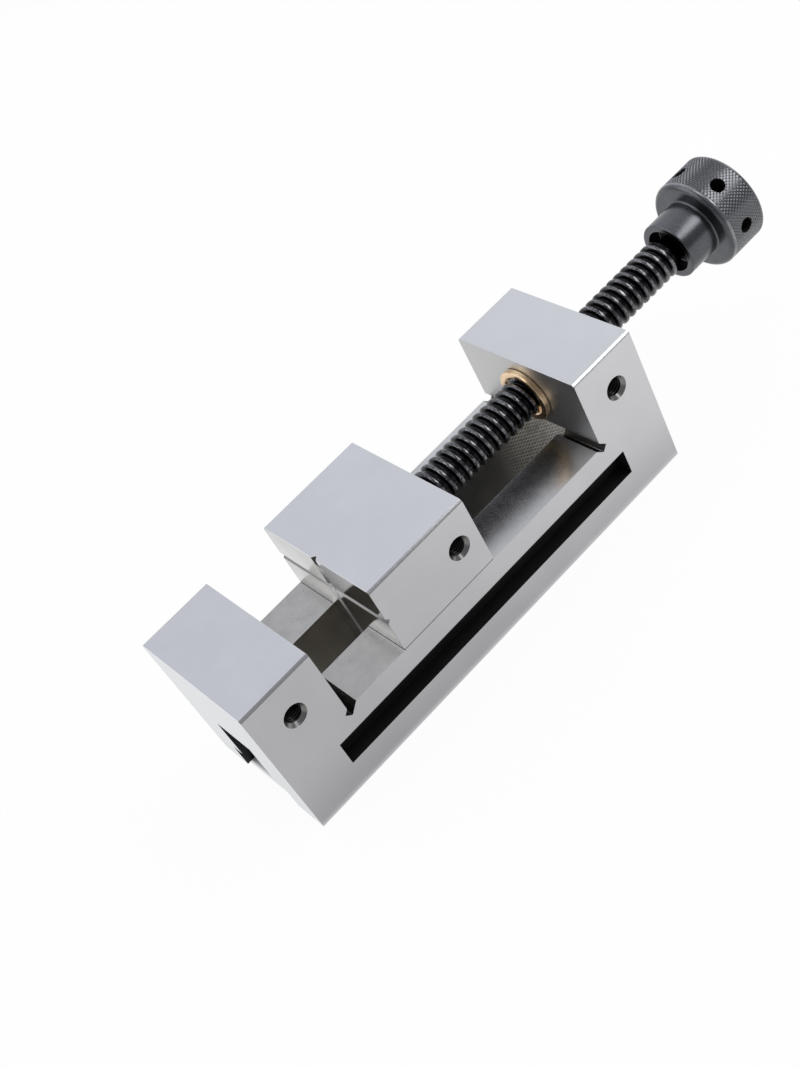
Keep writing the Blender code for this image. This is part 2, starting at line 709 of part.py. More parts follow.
def nut_mouth_mesh():
    """The cone that breaks the edge of the nut's thread. It narrows upwards from the nut's face."""
    wide = THREAD_RADIUS + GAP + NUT_MOUTH_CHAMFER
    profile = [
        (0, wide),
        (wide + CUT_PAST, -CUT_PAST),
        (0, -CUT_PAST),
    ]
    return turned_mesh(profile, ROUND_STEPS)


def make_nut():
    """A flanged nut whose thread follows the screw's helix, a clearance further out."""
    start = REAR_BLOCK_X - GAP - NUT_FLANGE_THICKNESS
    length = BODY_LENGTH - NUT_REAR_SETBACK - start
    turns_before = math.floor((start - THREAD_X) / THREAD_PITCH) - 1
    cutter_turns = math.ceil(length / THREAD_PITCH) + 3
    edge = SMALL_CHAMFER
    flange = NUT_FLANGE_THICKNESS
    profile = [
        (0, length),
        (NUT_RADIUS - edge, length),
        (NUT_RADIUS, length - edge),
        (NUT_RADIUS, flange),
        (NUT_FLANGE_RADIUS, flange),
        (NUT_FLANGE_RADIUS, edge),
        (NUT_FLANGE_RADIUS - edge, 0),
        (0, 0),
    ]
    nut = add_part("screw_nut", turned_mesh(profile, ROUND_STEPS), bronze, datum, start, 0, SCREW_HEIGHT)
    turn_along_x(nut)
    cutter_length = (cutter_turns + 1) * THREAD_PITCH
    low_end = (THREAD_ROOT_RADIUS, -GAP)
    high_end = (THREAD_ROOT_RADIUS, cutter_length + GAP)
    mesh = turned_on(open_thread(GAP, cutter_turns), [low_end], [high_end])
    along_x = (0, QUARTER_TURN, 0)
    cutter_x = THREAD_X + turns_before * THREAD_PITCH
    cut(nut, mesh, datum, cutter_x, 0, SCREW_HEIGHT, rotation=along_x)
    for mouth_x, tilt in ((start, QUARTER_TURN), (start + length, -QUARTER_TURN)):
        cut(nut, nut_mouth_mesh(), datum, mouth_x, 0, SCREW_HEIGHT, rotation=(0, tilt, 0))
    smooth(nut)


def knob_profile():
    """The knob from its hub at height 0 to its back: down the outer side, up through the bore."""
    length = HUB_LENGTH + RIM_LENGTH
    edge = SMALL_CHAMFER
    bore = SHANK_RADIUS + GAP
    rounded = []
    for step in range(KNOB_ROUND_STEPS + 1):
        angle = QUARTER_TURN * step / KNOB_ROUND_STEPS
        out = RIM_RADIUS - RIM_FRONT_ROUND * (1 - math.cos(angle))
        rounded.append((out, HUB_LENGTH + RIM_FRONT_ROUND * (1 - math.sin(angle))))
    fillet = []
    for step in range(FILLET_STEPS + 1):
        angle = QUARTER_TURN * step / FILLET_STEPS
        out = HUB_RADIUS + HUB_FILLET * (1 - math.sin(angle))
        fillet.append((out, HUB_LENGTH - HUB_FILLET * (1 - math.cos(angle))))
    return [
        (RIM_RADIUS - CHAMFER, length),
        (RIM_RADIUS, length - CHAMFER),
        *rounded,
        *fillet,
        (HUB_RADIUS, CHAMFER),
        (HUB_RADIUS - CHAMFER, 0),
        (HUB_RECESS_RADIUS + edge, 0),
        (HUB_RECESS_RADIUS, edge),
        (HUB_RECESS_RADIUS, HUB_RECESS_DEPTH),
        (bore, HUB_RECESS_DEPTH),
        (bore, length - edge),
        (bore + edge, length),
    ]


def make_knob():
    mesh = turned_mesh(knob_profile(), ROUND_STEPS)
    knob = add_part("knob", mesh, black_steel, screw_axis, HUB_X, 0, SCREW_HEIGHT)
    turn_along_x(knob)
    for number in range(BAR_HOLE_COUNT):
        angle = BAR_HOLE_FIRST_ANGLE + 2 * math.pi * number / BAR_HOLE_COUNT
        opens_into_bore = number % (BAR_HOLE_COUNT // 2) == 0
        floor = 0 if opens_into_bore else BAR_HOLE_FLOOR
        hole = rod_mesh(BAR_HOLE_RADIUS, RIM_RADIUS + CUT_PAST - floor, SMALL_ROUND_STEPS)
        y = floor * math.cos(angle)
        z = SCREW_HEIGHT + floor * math.sin(angle)
        cut(knob, hole, screw_axis, BAR_HOLE_X, y, z, rotation=(angle - QUARTER_TURN, 0, 0))
    smooth(knob)


def make_knob_pin():
    """It lies across the screw's shank, with its ends at the bottom of two bar holes."""
    angle = BAR_HOLE_FIRST_ANGLE
    mesh = rod_mesh(BAR_HOLE_RADIUS - GAP, 2 * BAR_HOLE_FLOOR, SMALL_ROUND_STEPS)
    y = -BAR_HOLE_FLOOR * math.cos(angle)
    z = SCREW_HEIGHT - BAR_HOLE_FLOOR * math.sin(angle)
    pin = add_part("knob_pin", mesh, bright_steel, screw_axis, BAR_HOLE_X, y, z)
    pin.rotation_euler = (angle - QUARTER_TURN, 0, 0)
    smooth(pin)


make_body()
make_jaw()
make_hold_down_plate()
make_hold_down_screws()
make_lock_washers()
make_lead_screw()
make_thrust_ball()
make_retaining_screws()
make_nut()
make_nut_lock_screws()
make_knob()
make_knob_pin()
bpy.context.view_layer.update()
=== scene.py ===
# Precision screw vise: finishes and fine shapes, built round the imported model.
# Shapes are worked out in millimetres from the front end's middle: x along the vise, y across it, z up.
import math

import bmesh
import bpy
import numpy as np
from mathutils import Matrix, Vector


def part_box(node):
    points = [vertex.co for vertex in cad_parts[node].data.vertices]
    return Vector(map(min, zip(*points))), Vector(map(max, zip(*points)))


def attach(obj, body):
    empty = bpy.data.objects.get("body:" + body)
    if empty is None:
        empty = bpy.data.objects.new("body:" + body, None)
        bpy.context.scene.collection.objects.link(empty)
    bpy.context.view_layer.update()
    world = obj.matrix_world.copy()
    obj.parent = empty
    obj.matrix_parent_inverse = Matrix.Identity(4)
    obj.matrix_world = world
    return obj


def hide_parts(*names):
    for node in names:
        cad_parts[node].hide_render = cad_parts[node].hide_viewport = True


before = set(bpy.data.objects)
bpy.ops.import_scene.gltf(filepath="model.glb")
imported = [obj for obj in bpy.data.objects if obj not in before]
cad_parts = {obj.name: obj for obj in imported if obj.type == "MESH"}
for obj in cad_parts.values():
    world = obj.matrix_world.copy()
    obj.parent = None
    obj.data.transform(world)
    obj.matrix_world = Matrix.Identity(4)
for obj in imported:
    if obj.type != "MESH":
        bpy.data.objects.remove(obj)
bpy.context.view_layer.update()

mm = 0.001
alongX, alongZ = (1, 0, 0), (0, 0, 1)
print("vise: frame loaded")


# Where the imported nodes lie

def nodeBox(name):  # a node's lowest and highest corners, in mm from the front end
    low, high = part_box(name)
    return (np.array(low) - frontEnd) / mm, (np.array(high) - frontEnd) / mm


frontEnd = np.array([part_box("vise_body")[0].x, 0.0, 0.0])
bodyHigh = nodeBox("vise_body")[1]
jawLow, jawHigh = nodeBox("movable_jaw")
plateLow, plateHigh = nodeBox("hold_down_plate")
screwLow, screwHigh = nodeBox("lead_screw")
nutLow, nutHigh = nodeBox("screw_nut")
knobLow, knobHigh = nodeBox("knob")
ballLow, ballHigh = nodeBox("thrust_ball")
screwHeight = (nutLow[2] + nutHigh[2]) / 2


# Surfaces: grids of points worked out as whole arrays

mergeReach = 0.0000002  # metres
smoothAngle = math.radians(14.5)
easeSteps = 3
arcPoints = easeSteps + 1  # on each rounded corner
spareTurns = 3  # of a thread, which its ends cut off


def closed(mesh, outwards=False):  # near points joined, slivers taken out and openings shut
    shape = bmesh.new()
    shape.from_mesh(mesh)
    bmesh.ops.remove_doubles(shape, verts=shape.verts, dist=mergeReach)
    bmesh.ops.dissolve_degenerate(shape, edges=shape.edges, dist=mergeReach)
    bmesh.ops.holes_fill(shape, edges=[edge for edge in shape.edges if edge.is_boundary])
    if outwards:
        bmesh.ops.recalc_face_normals(shape, faces=shape.faces)
    shape.to_mesh(mesh)
    shape.free()
    return mesh


def gridFaces(rows, columns, closedRows, closedColumns):  # the quads between a grid's neighbouring points
    row = np.arange(rows if closedRows else rows - 1)[:, None]
    column = np.arange(columns if closedColumns else columns - 1)[None, :]
    nextRow = (row + 1) % rows
    nextColumn = (column + 1) % columns
    corners = [row * columns + column, row * columns + nextColumn]
    corners += [nextRow * columns + nextColumn, nextRow * columns + column]
    return np.stack(np.broadcast_arrays(*corners), axis=-1).reshape(-1, 4)


def gridMesh(name, grid, finish, closedRows=False, closedColumns=False):
    # A grid of points as one closed mesh, which has a finish.
    points = grid.reshape(-1, 3) * mm + frontEnd
    faces = gridFaces(*grid.shape[:2], closedRows, closedColumns)
    mesh = bpy.data.meshes.new(name)
    mesh.from_pydata(points.tolist(), [], faces.tolist())
    mesh.materials.append(finish)
    return closed(mesh, outwards=True)


def eased(points, setback, steps=easeSteps):
    # Rounds an outline's corners: at t along a corner's arc the point is (1-t)^2 A + 2t(1-t) C + t^2 B,
    # where C is the corner and A and B lie a setback before and after it.
    corners = np.asarray(points, float)
    before = np.roll(corners, 1, axis=0) - corners
    after = np.roll(corners, -1, axis=0) - corners
    reach = np.broadcast_to(setback, len(corners))[:, None]
    first = corners + reach * before / np.linalg.norm(before, axis=1, keepdims=True)
    last = corners + reach * after / np.linalg.norm(after, axis=1, keepdims=True)
    t = np.linspace(0, 1, steps + 1)[None, :, None]
    arcs = (1 - t) ** 2 * first[:, None] + 2 * t * (1 - t) * corners[:, None] + t**2 * last[:, None]
    return arcs.reshape(-1, 2)


def prism(name, outline, along, low, high, finish):
    # An outline carried along a straight path: point (end, i) is outline point i at that end.
    outline = np.asarray(outline, float)
    ends = np.broadcast_to(np.array([low, high])[:, None], (2, len(outline)))
    first = np.broadcast_to(outline[None, :, 0], ends.shape)
    second = np.broadcast_to(outline[None, :, 1], ends.shape)
    order = {"x": (ends, first, second), "y": (first, ends, second), "z": (first, second, ends)}
    return gridMesh(name, np.stack(order[along], axis=-1), finish, closedColumns=True)


def box(name, low, high, finish):
    outline = [(low[0], low[1]), (high[0], low[1]), (high[0], high[1]), (low[0], high[1])]
    return prism(name, outline, "z", low[2], high[2], finish)


def roundAbout(radius, angle, height, start, axis):
    # A point at a radius and an angle about an axis, and at a height along it:
    # start + height * axis + radius * (cos(angle) * u + sin(angle) * v), with u and v square to the axis.
    axis = np.asarray(axis, float)
    side = np.array([0.0, 1.0, 0.0]) if abs(axis[0]) > 0.5 else np.array([1.0, 0.0, 0.0])
    up = np.cross(axis, side)
    radius, angle, height = np.broadcast_arrays(radius, angle, height)
    spoke = np.cos(angle)[..., None] * side + np.sin(angle)[..., None] * up
    return np.asarray(start, float) + height[..., None] * axis + radius[..., None] * spoke


def turned(name, profile, start, axis, finish, steps=96, ring=False):
    # A profile of (radius, height) points turned about an axis: point (i, angle) is profile point i there.
    profile = np.asarray(profile, float)
    angle = np.arange(steps)[None, :] * 2 * math.pi / steps
    grid = roundAbout(profile[:, :1], angle, profile[:, 1:], start, axis)
    return gridMesh(name, grid, finish, closedRows=ring, closedColumns=True)


def rod(radius, low, high):  # a plain rod's profile
    return [(0, low), (radius, low), (radius, high), (0, high)]


def threadProfile(facts):
    # One pitch as (height, share of the depth): root, flank, crest and flank, with eased corners.
    half, flank, depth, steps = facts["pitch"] / 2, facts["flank"], facts["depth"], facts["easeSteps"]
    low, high = half - facts["crest"] / 2, half + facts["crest"] / 2
    corners = [(low - flank, 0), (low, depth), (high, depth), (high + flank, 0)]
    leading = (corners[-1][0] - facts["pitch"], 0)
    following = (facts["pitch"] + corners[0][0], 0)
    line = eased([leading, *corners, following], facts["ease"], steps)[steps + 1 : -(steps + 1)]
    return line[:, 0], line[:, 1] / depth


def threaded(name, facts, lowProfile, highProfile, start, axis, finish):
    # A thread between two turned profiles. Row s at an angle lies at height s + pitch * angle / turn, held
    # within the thread's ends, and its radius is root + depth * profile(s) * fade^2 * (3 - 2 fade), where
    # fade falls from 1 to 0 over the run-out at each end.
    heights, shares = threadProfile(facts)
    pitch = facts["pitch"]
    low, high = facts["span"]
    turns = math.ceil((high - low) / pitch) + spareTurns
    turn = np.arange(turns)[:, None]
    rowHeight = (low - pitch * (1 + facts["phase"]) + heights[None, :] + turn * pitch).ravel()
    rowShare = np.broadcast_to(shares[None, :], (turns, len(shares))).ravel()
    angle = np.linspace(0, 2 * math.pi, facts["steps"] + 1)[None, :]
    height = np.clip(rowHeight[:, None] + pitch * angle / (2 * math.pi), low, high)
    fade = np.clip(np.minimum(height - low, high - height) / facts["runOut"], 0, 1)
    radius = facts["root"] + facts["depth"] * rowShare[:, None] * fade * fade * (3 - 2 * fade)
    lowEnd, highEnd = (
        np.broadcast_to(np.asarray(profile, float)[:, None, :], (len(profile), angle.shape[1], 2))
        for profile in (lowProfile, highProfile)
    )
    surface = np.concatenate([lowEnd, np.stack([radius, height], axis=-1), highEnd])
    grid = roundAbout(surface[..., 0], angle, surface[..., 1], start, axis)
    return gridMesh(name, grid, finish)


# Cutting and finishing meshes

past = 2.0  # mm: how far a cutter reaches past the face that it cuts
shortPast = 1.0  # and where it has less room
edgeSegments = 2
edgeAngle = math.radians(30)  # a sharper fold between two faces is an edge
facing = {  # shares of a face's normal along x, y or z
    "square": 0.9,
    "slanted": (0.6, 0.8),
    "partly": 0.5,
    "hardly": 0.1,
}


def asObject(mesh):
    obj = bpy.data.objects.new(mesh.name, mesh)
    bpy.context.scene.collection.objects.link(obj)
    return obj


def baked(obj, helpers=()):  # the object's mesh with its modifiers in place; the object and its helpers go
    bpy.context.view_layer.update()
    mesh = bpy.data.meshes.new_from_object(obj.evaluated_get(bpy.context.evaluated_depsgraph_get()))
    for used in (obj, *helpers):
        bpy.data.objects.remove(used)
    return mesh


def carved(mesh, cutters):  # the mesh with each cutter's shape taken out; cut faces keep the cutter's finish
    for cutter in cutters:
        obj, helper = asObject(mesh), asObject(cutter)
        cut = obj.modifiers.new("Cut", "BOOLEAN")
        cut.operation = "DIFFERENCE"
        cut.solver = "EXACT"
        cut.material_mode = "TRANSFER"
        cut.object = helper
        mesh = closed(baked(obj, [helper]))
    return mesh


def easedEdges(mesh, width):  # every sharp edge rounded, as a stone breaks it
    obj = asObject(mesh)
    bevel = obj.modifiers.new("Ease", "BEVEL")
    bevel.width = width * mm
    bevel.segments = edgeSegments
    bevel.limit_method = "ANGLE"
    bevel.angle_limit = edgeAngle
    return baked(obj)


def settle(name, mesh, body, node):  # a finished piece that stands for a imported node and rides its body
    mesh.name = name
    mesh.shade_smooth()
    mesh.set_sharp_from_angle(angle=smoothAngle)
    piece = asObject(mesh)
    piece.name = name
    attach(piece, body)
    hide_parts(node)
    return piece


def faceFacts(mesh):  # each face's normal, its middle in mm from the front end, and its finish's number
    count = len(mesh.polygons)
    normal, middle, number = np.zeros(count * 3), np.zeros(count * 3), np.zeros(count, np.int32)
    mesh.polygons.foreach_get("normal", normal)
    mesh.polygons.foreach_get("center", middle)
    mesh.polygons.foreach_get("material_index", number)
    return normal.reshape(-1, 3), (middle.reshape(-1, 3) - frontEnd) / mm, number


def paint(mesh, finish, chosen):  # gives a finish to the chosen faces
    number = faceFacts(mesh)[2]
    mesh.materials.append(finish)
    number[chosen] = len(mesh.materials) - 1
    mesh.polygons.foreach_set("material_index", number)


# Finishes

class Wire:  # a node's output; arithmetic on it adds Math nodes
    def __init__(self, finish, socket):
        self.finish = finish
        self.socket = socket

    def maths(self, operation, *values):
        inputs = dict(enumerate((self, *values)))
        return self.finish.node("ShaderNodeMath", {"operation": operation}, inputs)

    def __add__(self, other):
        return self.maths("ADD", other)

    __radd__ = __add__

    def __mul__(self, other):
        return self.maths("MULTIPLY", other)

    __rmul__ = __mul__

    def __sub__(self, other):
        return self.maths("SUBTRACT", other)

    def __rsub__(self, other):
        return self.maths("MULTIPLY_ADD", -1.0, other)

    def clamped(self, low, high):  # where the value goes from low to high, this goes from 0 to 1
        return self.finish.node("ShaderNodeMapRange", {"clamp": True}, {0: self, 1: low, 2: high})


def opaque(color):  # three numbers as a whole colour; a wire passes as it is
    return color if isinstance(color, Wire) else (*color, 1)


class Finish:  # a material or world with its nodes
    def __init__(self, owner):
        owner.use_nodes = True
        self.owner = owner
        self.tree = owner.node_tree
        self.tree.nodes.clear()

    def node(self, kind, settings=None, values=None, output=0):  # any node: settings first, then sockets
        node = self.tree.nodes.new(kind)
        for key, value in (settings or {}).items():
            if key == "stops":
                while len(node.color_ramp.elements) < len(value):
                    node.color_ramp.elements.new(0.5)
                for element, (place, color) in zip(node.color_ramp.elements, value):
                    element.position = place
                    element.color = (*color, 1)
            else:
                setattr(node, key, value)
        for key, value in (values or {}).items():
            if isinstance(value, Wire):
                self.tree.links.new(value.socket, node.inputs[key])
            else:
                node.inputs[key].default_value = value
        return Wire(self, node.outputs[output]) if node.outputs else None

    def place(self, scale, turn=(0, 0, 0)):  # object coordinates in metres, stretched and turned
        coordinates = self.node("ShaderNodeTexCoord", output="Object")
        values = {"Vector": coordinates, "Scale": scale, "Rotation": turn}
        return self.node("ShaderNodeMapping", {}, values)

    def coordinate(self, axis, kind="Object"):  # one coordinate of where a point lies
        coordinates = self.node("ShaderNodeTexCoord", output=kind)
        return self.node("ShaderNodeSeparateXYZ", {}, {"Vector": coordinates}, output=axis)

    def noise(self, scale, detail, roughness=0.55, turn=(0, 0, 0)):
        values = {"Vector": self.place(scale, turn), "Scale": 1.0, "Detail": detail, "Roughness": roughness}
        return self.node("ShaderNodeTexNoise", {}, values)

    def evenNoise(self, perMetre, detail):  # the same in every direction
        return self.noise([perMetre] * 3, detail)

    def blend(self, share, first, second):  # a colour between two
        values = {0: share, 6: opaque(first), 7: opaque(second)}
        return self.node("ShaderNodeMix", {"data_type": "RGBA"}, values, output=2)

    def bump(self, height, strength, distance):
        return self.node("ShaderNodeBump", {}, {"Height": height, "Strength": strength, "Distance": distance})

    def ends(self, shader, kind="ShaderNodeOutputMaterial"):  # the last node, fed by a shader
        self.node(kind, {}, {"Surface": shader})
        return self.owner

    def steel(self, color, roughness, normal, metallic=1.0):  # the shader that ends most finishes
        values = {"Base Color": color, "Metallic": metallic, "Roughness": roughness, "Normal": normal}
        return self.ends(self.node("ShaderNodeBsdfPrincipled", {}, values))


def newFinish(name):
    return Finish(bpy.data.materials.new(name))


def unevenly(middle, *swings):
    # A value that noises swing about its middle: the sum of noise * swing, less half of each swing, because
    # a noise's own middle is a half.
    value = middle - sum(swing for noise, swing in swings) / 2
    for noise, swing in swings:
        value = noise * swing + value
    return value


cloudsPerMetre = 90
shadeSpan = (0.35, 0.65)  # the part of a noise's range that spans two colours

grindingFacts = {
    "lineWidth": 0.00035,  # metres, across the grinding lines
    "lineLength": 0.02,
    "lineShare": 0.3,  # of the shade, beside the patches' share
    "patchSize": 0.018,
    "lineHeight": 0.000004,
    "lineStrength": 0.2,
}


def grindingLines(finish, along):
    scale = [1 / grindingFacts["lineWidth"]] * 3
    scale["xyz".index(along)] = 1 / grindingFacts["lineLength"]
    return finish.noise(scale, 4.0, roughness=0.65)


def groundFinish(name, color, paler, roughness, along, polish=1.0):
    # Steel off a surface grinder: fine lines along one direction, in patches a little brighter or duller.
    finish = newFinish(name)
    lines = grindingLines(finish, along)
    patches = finish.evenNoise(1 / grindingFacts["patchSize"], 4.0)
    share = grindingFacts["lineShare"]
    shade = (patches * (1 - share) + lines * share).clamped(*shadeSpan)
    return finish.steel(
        finish.blend(shade, color, paler),
        unevenly(roughness, (lines, 0.06), (patches, 0.08)),
        finish.bump(lines, grindingFacts["lineStrength"] * polish, grindingFacts["lineHeight"]),
    )


railFacts = {
    "scratchSpacing": 0.006,
    "scratchShape": (0.25, 6, 1),  # how closely they lie along x, y and z, in shares of that spacing
    "scratchTurn": math.radians(24),
    "scratchSpan": (0.66, 0.72),
    "speckSize": 0.0013,
    "speckSpan": (0.72, 0.78),
    "speckShare": 0.6,
    "speckColor": (0.16, 0.14, 0.11),
    "blotchSize": 0.0045,
    "shadeSpan": (0.34, 0.66),
    "cleanSpan": (-0.078, -0.036),  # metres along x: behind the jaw the rails are cleaner and brighter
    "cleanColors": ((0.45, 0.447, 0.447), (0.53, 0.527, 0.527)),
}


def railFinish(name, color, paler, roughness):
    # The rails' tops: ground along x, then rubbed by the jaw and the work, with faint scratches and specks.
    finish = newFinish(name)
    facts = railFacts
    behind = finish.coordinate("X").clamped(*facts["cleanSpan"])
    lines = grindingLines(finish, "x")
    wear = finish.evenNoise(1 / grindingFacts["patchSize"], 5.0)
    scale = [share / facts["scratchSpacing"] for share in facts["scratchShape"]]
    strokes = finish.noise(scale, 2.0, turn=(0, 0, facts["scratchTurn"]))
    scratches = strokes.clamped(*facts["scratchSpan"]) * (1 - behind)
    specks = finish.evenNoise(1 / facts["speckSize"], 1.0).clamped(*facts["speckSpan"])
    blotches = finish.evenNoise(1 / facts["blotchSize"], 4.0)
    shade = (wear * 0.5 + blotches * 0.4 + lines * 0.1).clamped(*facts["shadeSpan"])
    rubbed = finish.blend(shade, color, paler)
    rubbed = finish.blend(specks * facts["speckShare"], rubbed, facts["speckColor"])
    return finish.steel(
        finish.blend(behind, rubbed, finish.blend(shade, *facts["cleanColors"])),
        unevenly(roughness, (lines, 0.03), (blotches, 0.05)) + scratches * 0.08,
        finish.bump(lines * 0.4 + scratches, 0.15, grindingFacts["lineHeight"]),
    )


lappingFacts = {"grainPerMetre": 2600, "shadeSpan": (0.35, 0.7), "duller": 0.9}


def lappedFinish(name, color, roughness):  # the jaw faces: lapped until they mirror what is near
    finish = newFinish(name)
    haze = finish.evenNoise(cloudsPerMetre, 4.0)
    grain = finish.evenNoise(lappingFacts["grainPerMetre"], 2.0)
    duller = [lappingFacts["duller"] * part for part in color]
    return finish.steel(
        finish.blend(haze.clamped(*lappingFacts["shadeSpan"]), color, duller),
        unevenly(roughness, (haze, 0.06), (grain, 0.03)),
        finish.bump(grain, 0.15, grindingFacts["lineHeight"]),
    )


channelFacts = {
    "hatchSpacing": 0.00145,
    "hatchTurn": math.radians(32),
    "hatchRear": (0.006, 0.018),  # where it fades in, in metres along x
    "hatchFront": (-0.094, -0.108),
    "hatchFrontShare": 0.4,
    "hatchCrest": (0.5, 1.0),
    "hatchPatchesPerMetre": 420,
    "hatchPatchSpan": (0.1, 0.55),
    # the hatch's near-white colour: a painted reflection
    "paintedReflectionColor": (0.97, 0.96, 0.93),
    # painted light: the walls paler under the jaws' opening and near the rear block
    "litRear": (-0.05, -0.08),  # and where its paler part, under the jaws' opening, fades in at each end
    "litFront": (-0.125, -0.113),
    "litColors": ((0.38, 0.35, 0.30), (0.58, 0.54, 0.475)),
    "litShareAtRear": 0.6,
    # painted shade: near black where the channel runs under the fixed jaw
    "frontShadeSpan": (-0.116, -0.126),  # where the channel's front end darkens
    "frontShadeColor": (0.03, 0.031, 0.034),
    "cloudsPerMetre": 60,
    "grainPerMetre": 1800,
    "grainHeight": 0.00006,
    "shadeSpan": (0.35, 0.75),
    "roughness": 0.455,
}


def channelFinish(name, color, paler):
    # The channel's walls are dark, partly from hardening and partly painted shade, with a bright cross-hatch
    # of painted reflection near the rear block and, fainter, near the fixed jaw. A mark's height is the
    # greater of sin(k (x sin a + z cos a)) and sin(k (x sin a - z cos a)), where a is the marks' turn and k
    # is 2 pi over their spacing.
    finish = newFinish(name)
    facts = channelFacts
    turn, wave = facts["hatchTurn"], 2 * math.pi / facts["hatchSpacing"]
    along = finish.coordinate("X")
    level, upright = along * math.sin(turn), finish.coordinate("Z") * math.cos(turn)
    rising, falling = ((way * wave).maths("SINE") for way in (level + upright, level - upright))
    patches = finish.evenNoise(facts["hatchPatchesPerMetre"], 2.0).clamped(*facts["hatchPatchSpan"])
    nearRear = along.clamped(*facts["hatchRear"])
    nearFront = along.clamped(*facts["hatchFront"]) * facts["hatchFrontShare"]
    # front: painted shade, near black where the channel runs under the fixed jaw
    front = along.clamped(*facts["frontShadeSpan"])
    # the hatch: a painted reflection, fading in near the rear block and the fixed jaw
    hatch = rising.maths("MAXIMUM", falling).clamped(*facts["hatchCrest"])
    hatch = hatch * patches * (nearRear + nearFront) * (1 - front)
    clouds = finish.evenNoise(facts["cloudsPerMetre"], 5.0)
    grain = finish.evenNoise(facts["grainPerMetre"], 3.0)
    shade = (clouds * 0.8 + grain * 0.3).clamped(*facts["shadeSpan"])
    # painted light: paler where the channel lies open between the jaws, and near the rear block
    opening = along.clamped(*facts["litRear"]) * along.clamped(*facts["litFront"])
    paintedLight = opening + nearRear * facts["litShareAtRear"]
    dark, pale = finish.blend(shade, color, paler), finish.blend(shade, *facts["litColors"])
    base = finish.blend(front, finish.blend(paintedLight, dark, pale), facts["frontShadeColor"])
    return finish.steel(
        finish.blend(hatch, base, facts["paintedReflectionColor"]),
        unevenly(facts["roughness"], (grain, 0.15), (clouds, 0.2)),
        finish.bump(hatch * 0.6 + grain, 0.5, facts["grainHeight"]),
    )


def roughFinish(name, color, paler, roughness, metallic, grainSize, height):  # steel left as cut or hardened
    finish = newFinish(name)
    clouds = finish.evenNoise(cloudsPerMetre, 4.0)
    grain = finish.evenNoise(1 / (grainSize * mm), 3.0)
    return finish.steel(
        finish.blend((clouds * 0.6 + grain * 0.4).clamped(*shadeSpan), color, paler),
        unevenly(roughness, (grain, 0.14), (clouds, 0.1)),
        finish.bump(grain, 0.4, height * mm),
        metallic,
    )


blackeningSpan = (0.40, 0.64)


def blackenedFinish(name, low, high, reach, roughness, polish, grainSize, height):
    # Blackened steel, paler and smoother where it stands furthest from the screw's axis: use wears the crests
    # and knurl tips there, and the paler colour is partly a painted highlight.
    # That distance is the square root of y^2 + (z - axis height)^2. low and high are pairs of colours.
    finish = newFinish(name)
    across, up = finish.coordinate("Y"), finish.coordinate("Z") - screwHeight * mm
    wearAndHighlight = (across * across + up * up).maths("SQRT").clamped(*reach)
    clouds = finish.evenNoise(cloudsPerMetre, 4.0)
    grain = finish.evenNoise(1 / (grainSize * mm), 3.0)
    shade = (clouds * 0.4 + grain * 0.6).clamped(*blackeningSpan)
    return finish.steel(
        # paler towards the crests and knurl tips: wear, and partly a painted highlight
        finish.blend(wearAndHighlight, finish.blend(shade, *low), finish.blend(shade, *high)),
        unevenly(roughness, (grain, 0.16), (clouds, 0.1)) - wearAndHighlight * polish,
        finish.bump(grain, 0.5, height * mm),
    )


# Ground and lapped steel: a colour and a paler one, roughness, the way of the lines and how much they show.
# Rough steel: a colour and a paler one, roughness, metallic, and its grain's size and height in mm.
groundSteel = groundFinish("groundSteel", (0.55, 0.555, 0.57), (0.58, 0.585, 0.60), 0.25, "x", 0.6)
# The ends' ground steel is paler than the tops': painted light on the faces along x.
groundEndPaintedLight = groundFinish("groundEndPaintedLight", (0.70, 0.71, 0.725), (0.74, 0.75, 0.765), 0.27, "y", 0.6)
# The sides' ground steel is paler than the tops': painted light on the faces along y.
groundSidePaintedLight = groundFinish("groundSidePaintedLight", (0.62, 0.618, 0.634), (0.66, 0.658, 0.674), 0.30, "x", 0.4)
railSteel = railFinish("railSteel", (0.36, 0.352, 0.335), (0.44, 0.431, 0.41), 0.26)
lappedSteel = lappedFinish("lappedSteel", (0.56, 0.56, 0.555), 0.16)
blockSteel = groundFinish("blockSteel", (0.54, 0.54, 0.54), (0.59, 0.59, 0.59), 0.42, "y", 0.4)
# The channel's walls: dark steel, partly painted shade, with painted light and a painted reflection on it.
channelSteelWithPaintedLight = channelFinish("channelSteelWithPaintedLight", (0.19, 0.184, 0.175), (0.34, 0.33, 0.315))
# Near-black steel for the clamp slots and the knob's bar holes: painted shade.
hollowShadeBlack = roughFinish("hollowShadeBlack", (0.0022, 0.0022, 0.002), (0.005, 0.0048, 0.0045), 0.6, 0.0, 0.7, 0.05)
# Nearly black rough steel for the reliefs, the bores and the jaw foot's chamfer: painted shade.
reliefShadeSteel = roughFinish("reliefShadeSteel", (0.035, 0.033, 0.029), (0.07, 0.066, 0.06), 0.42, 1.0, 0.6, 0.03)
# Dark steel for the tapped holes and the cap screws' holes: painted shade.
holeShadeSteel = roughFinish("holeShadeSteel", (0.02, 0.019, 0.018), (0.045, 0.044, 0.042), 0.34, 1.0, 0.4, 0.02)
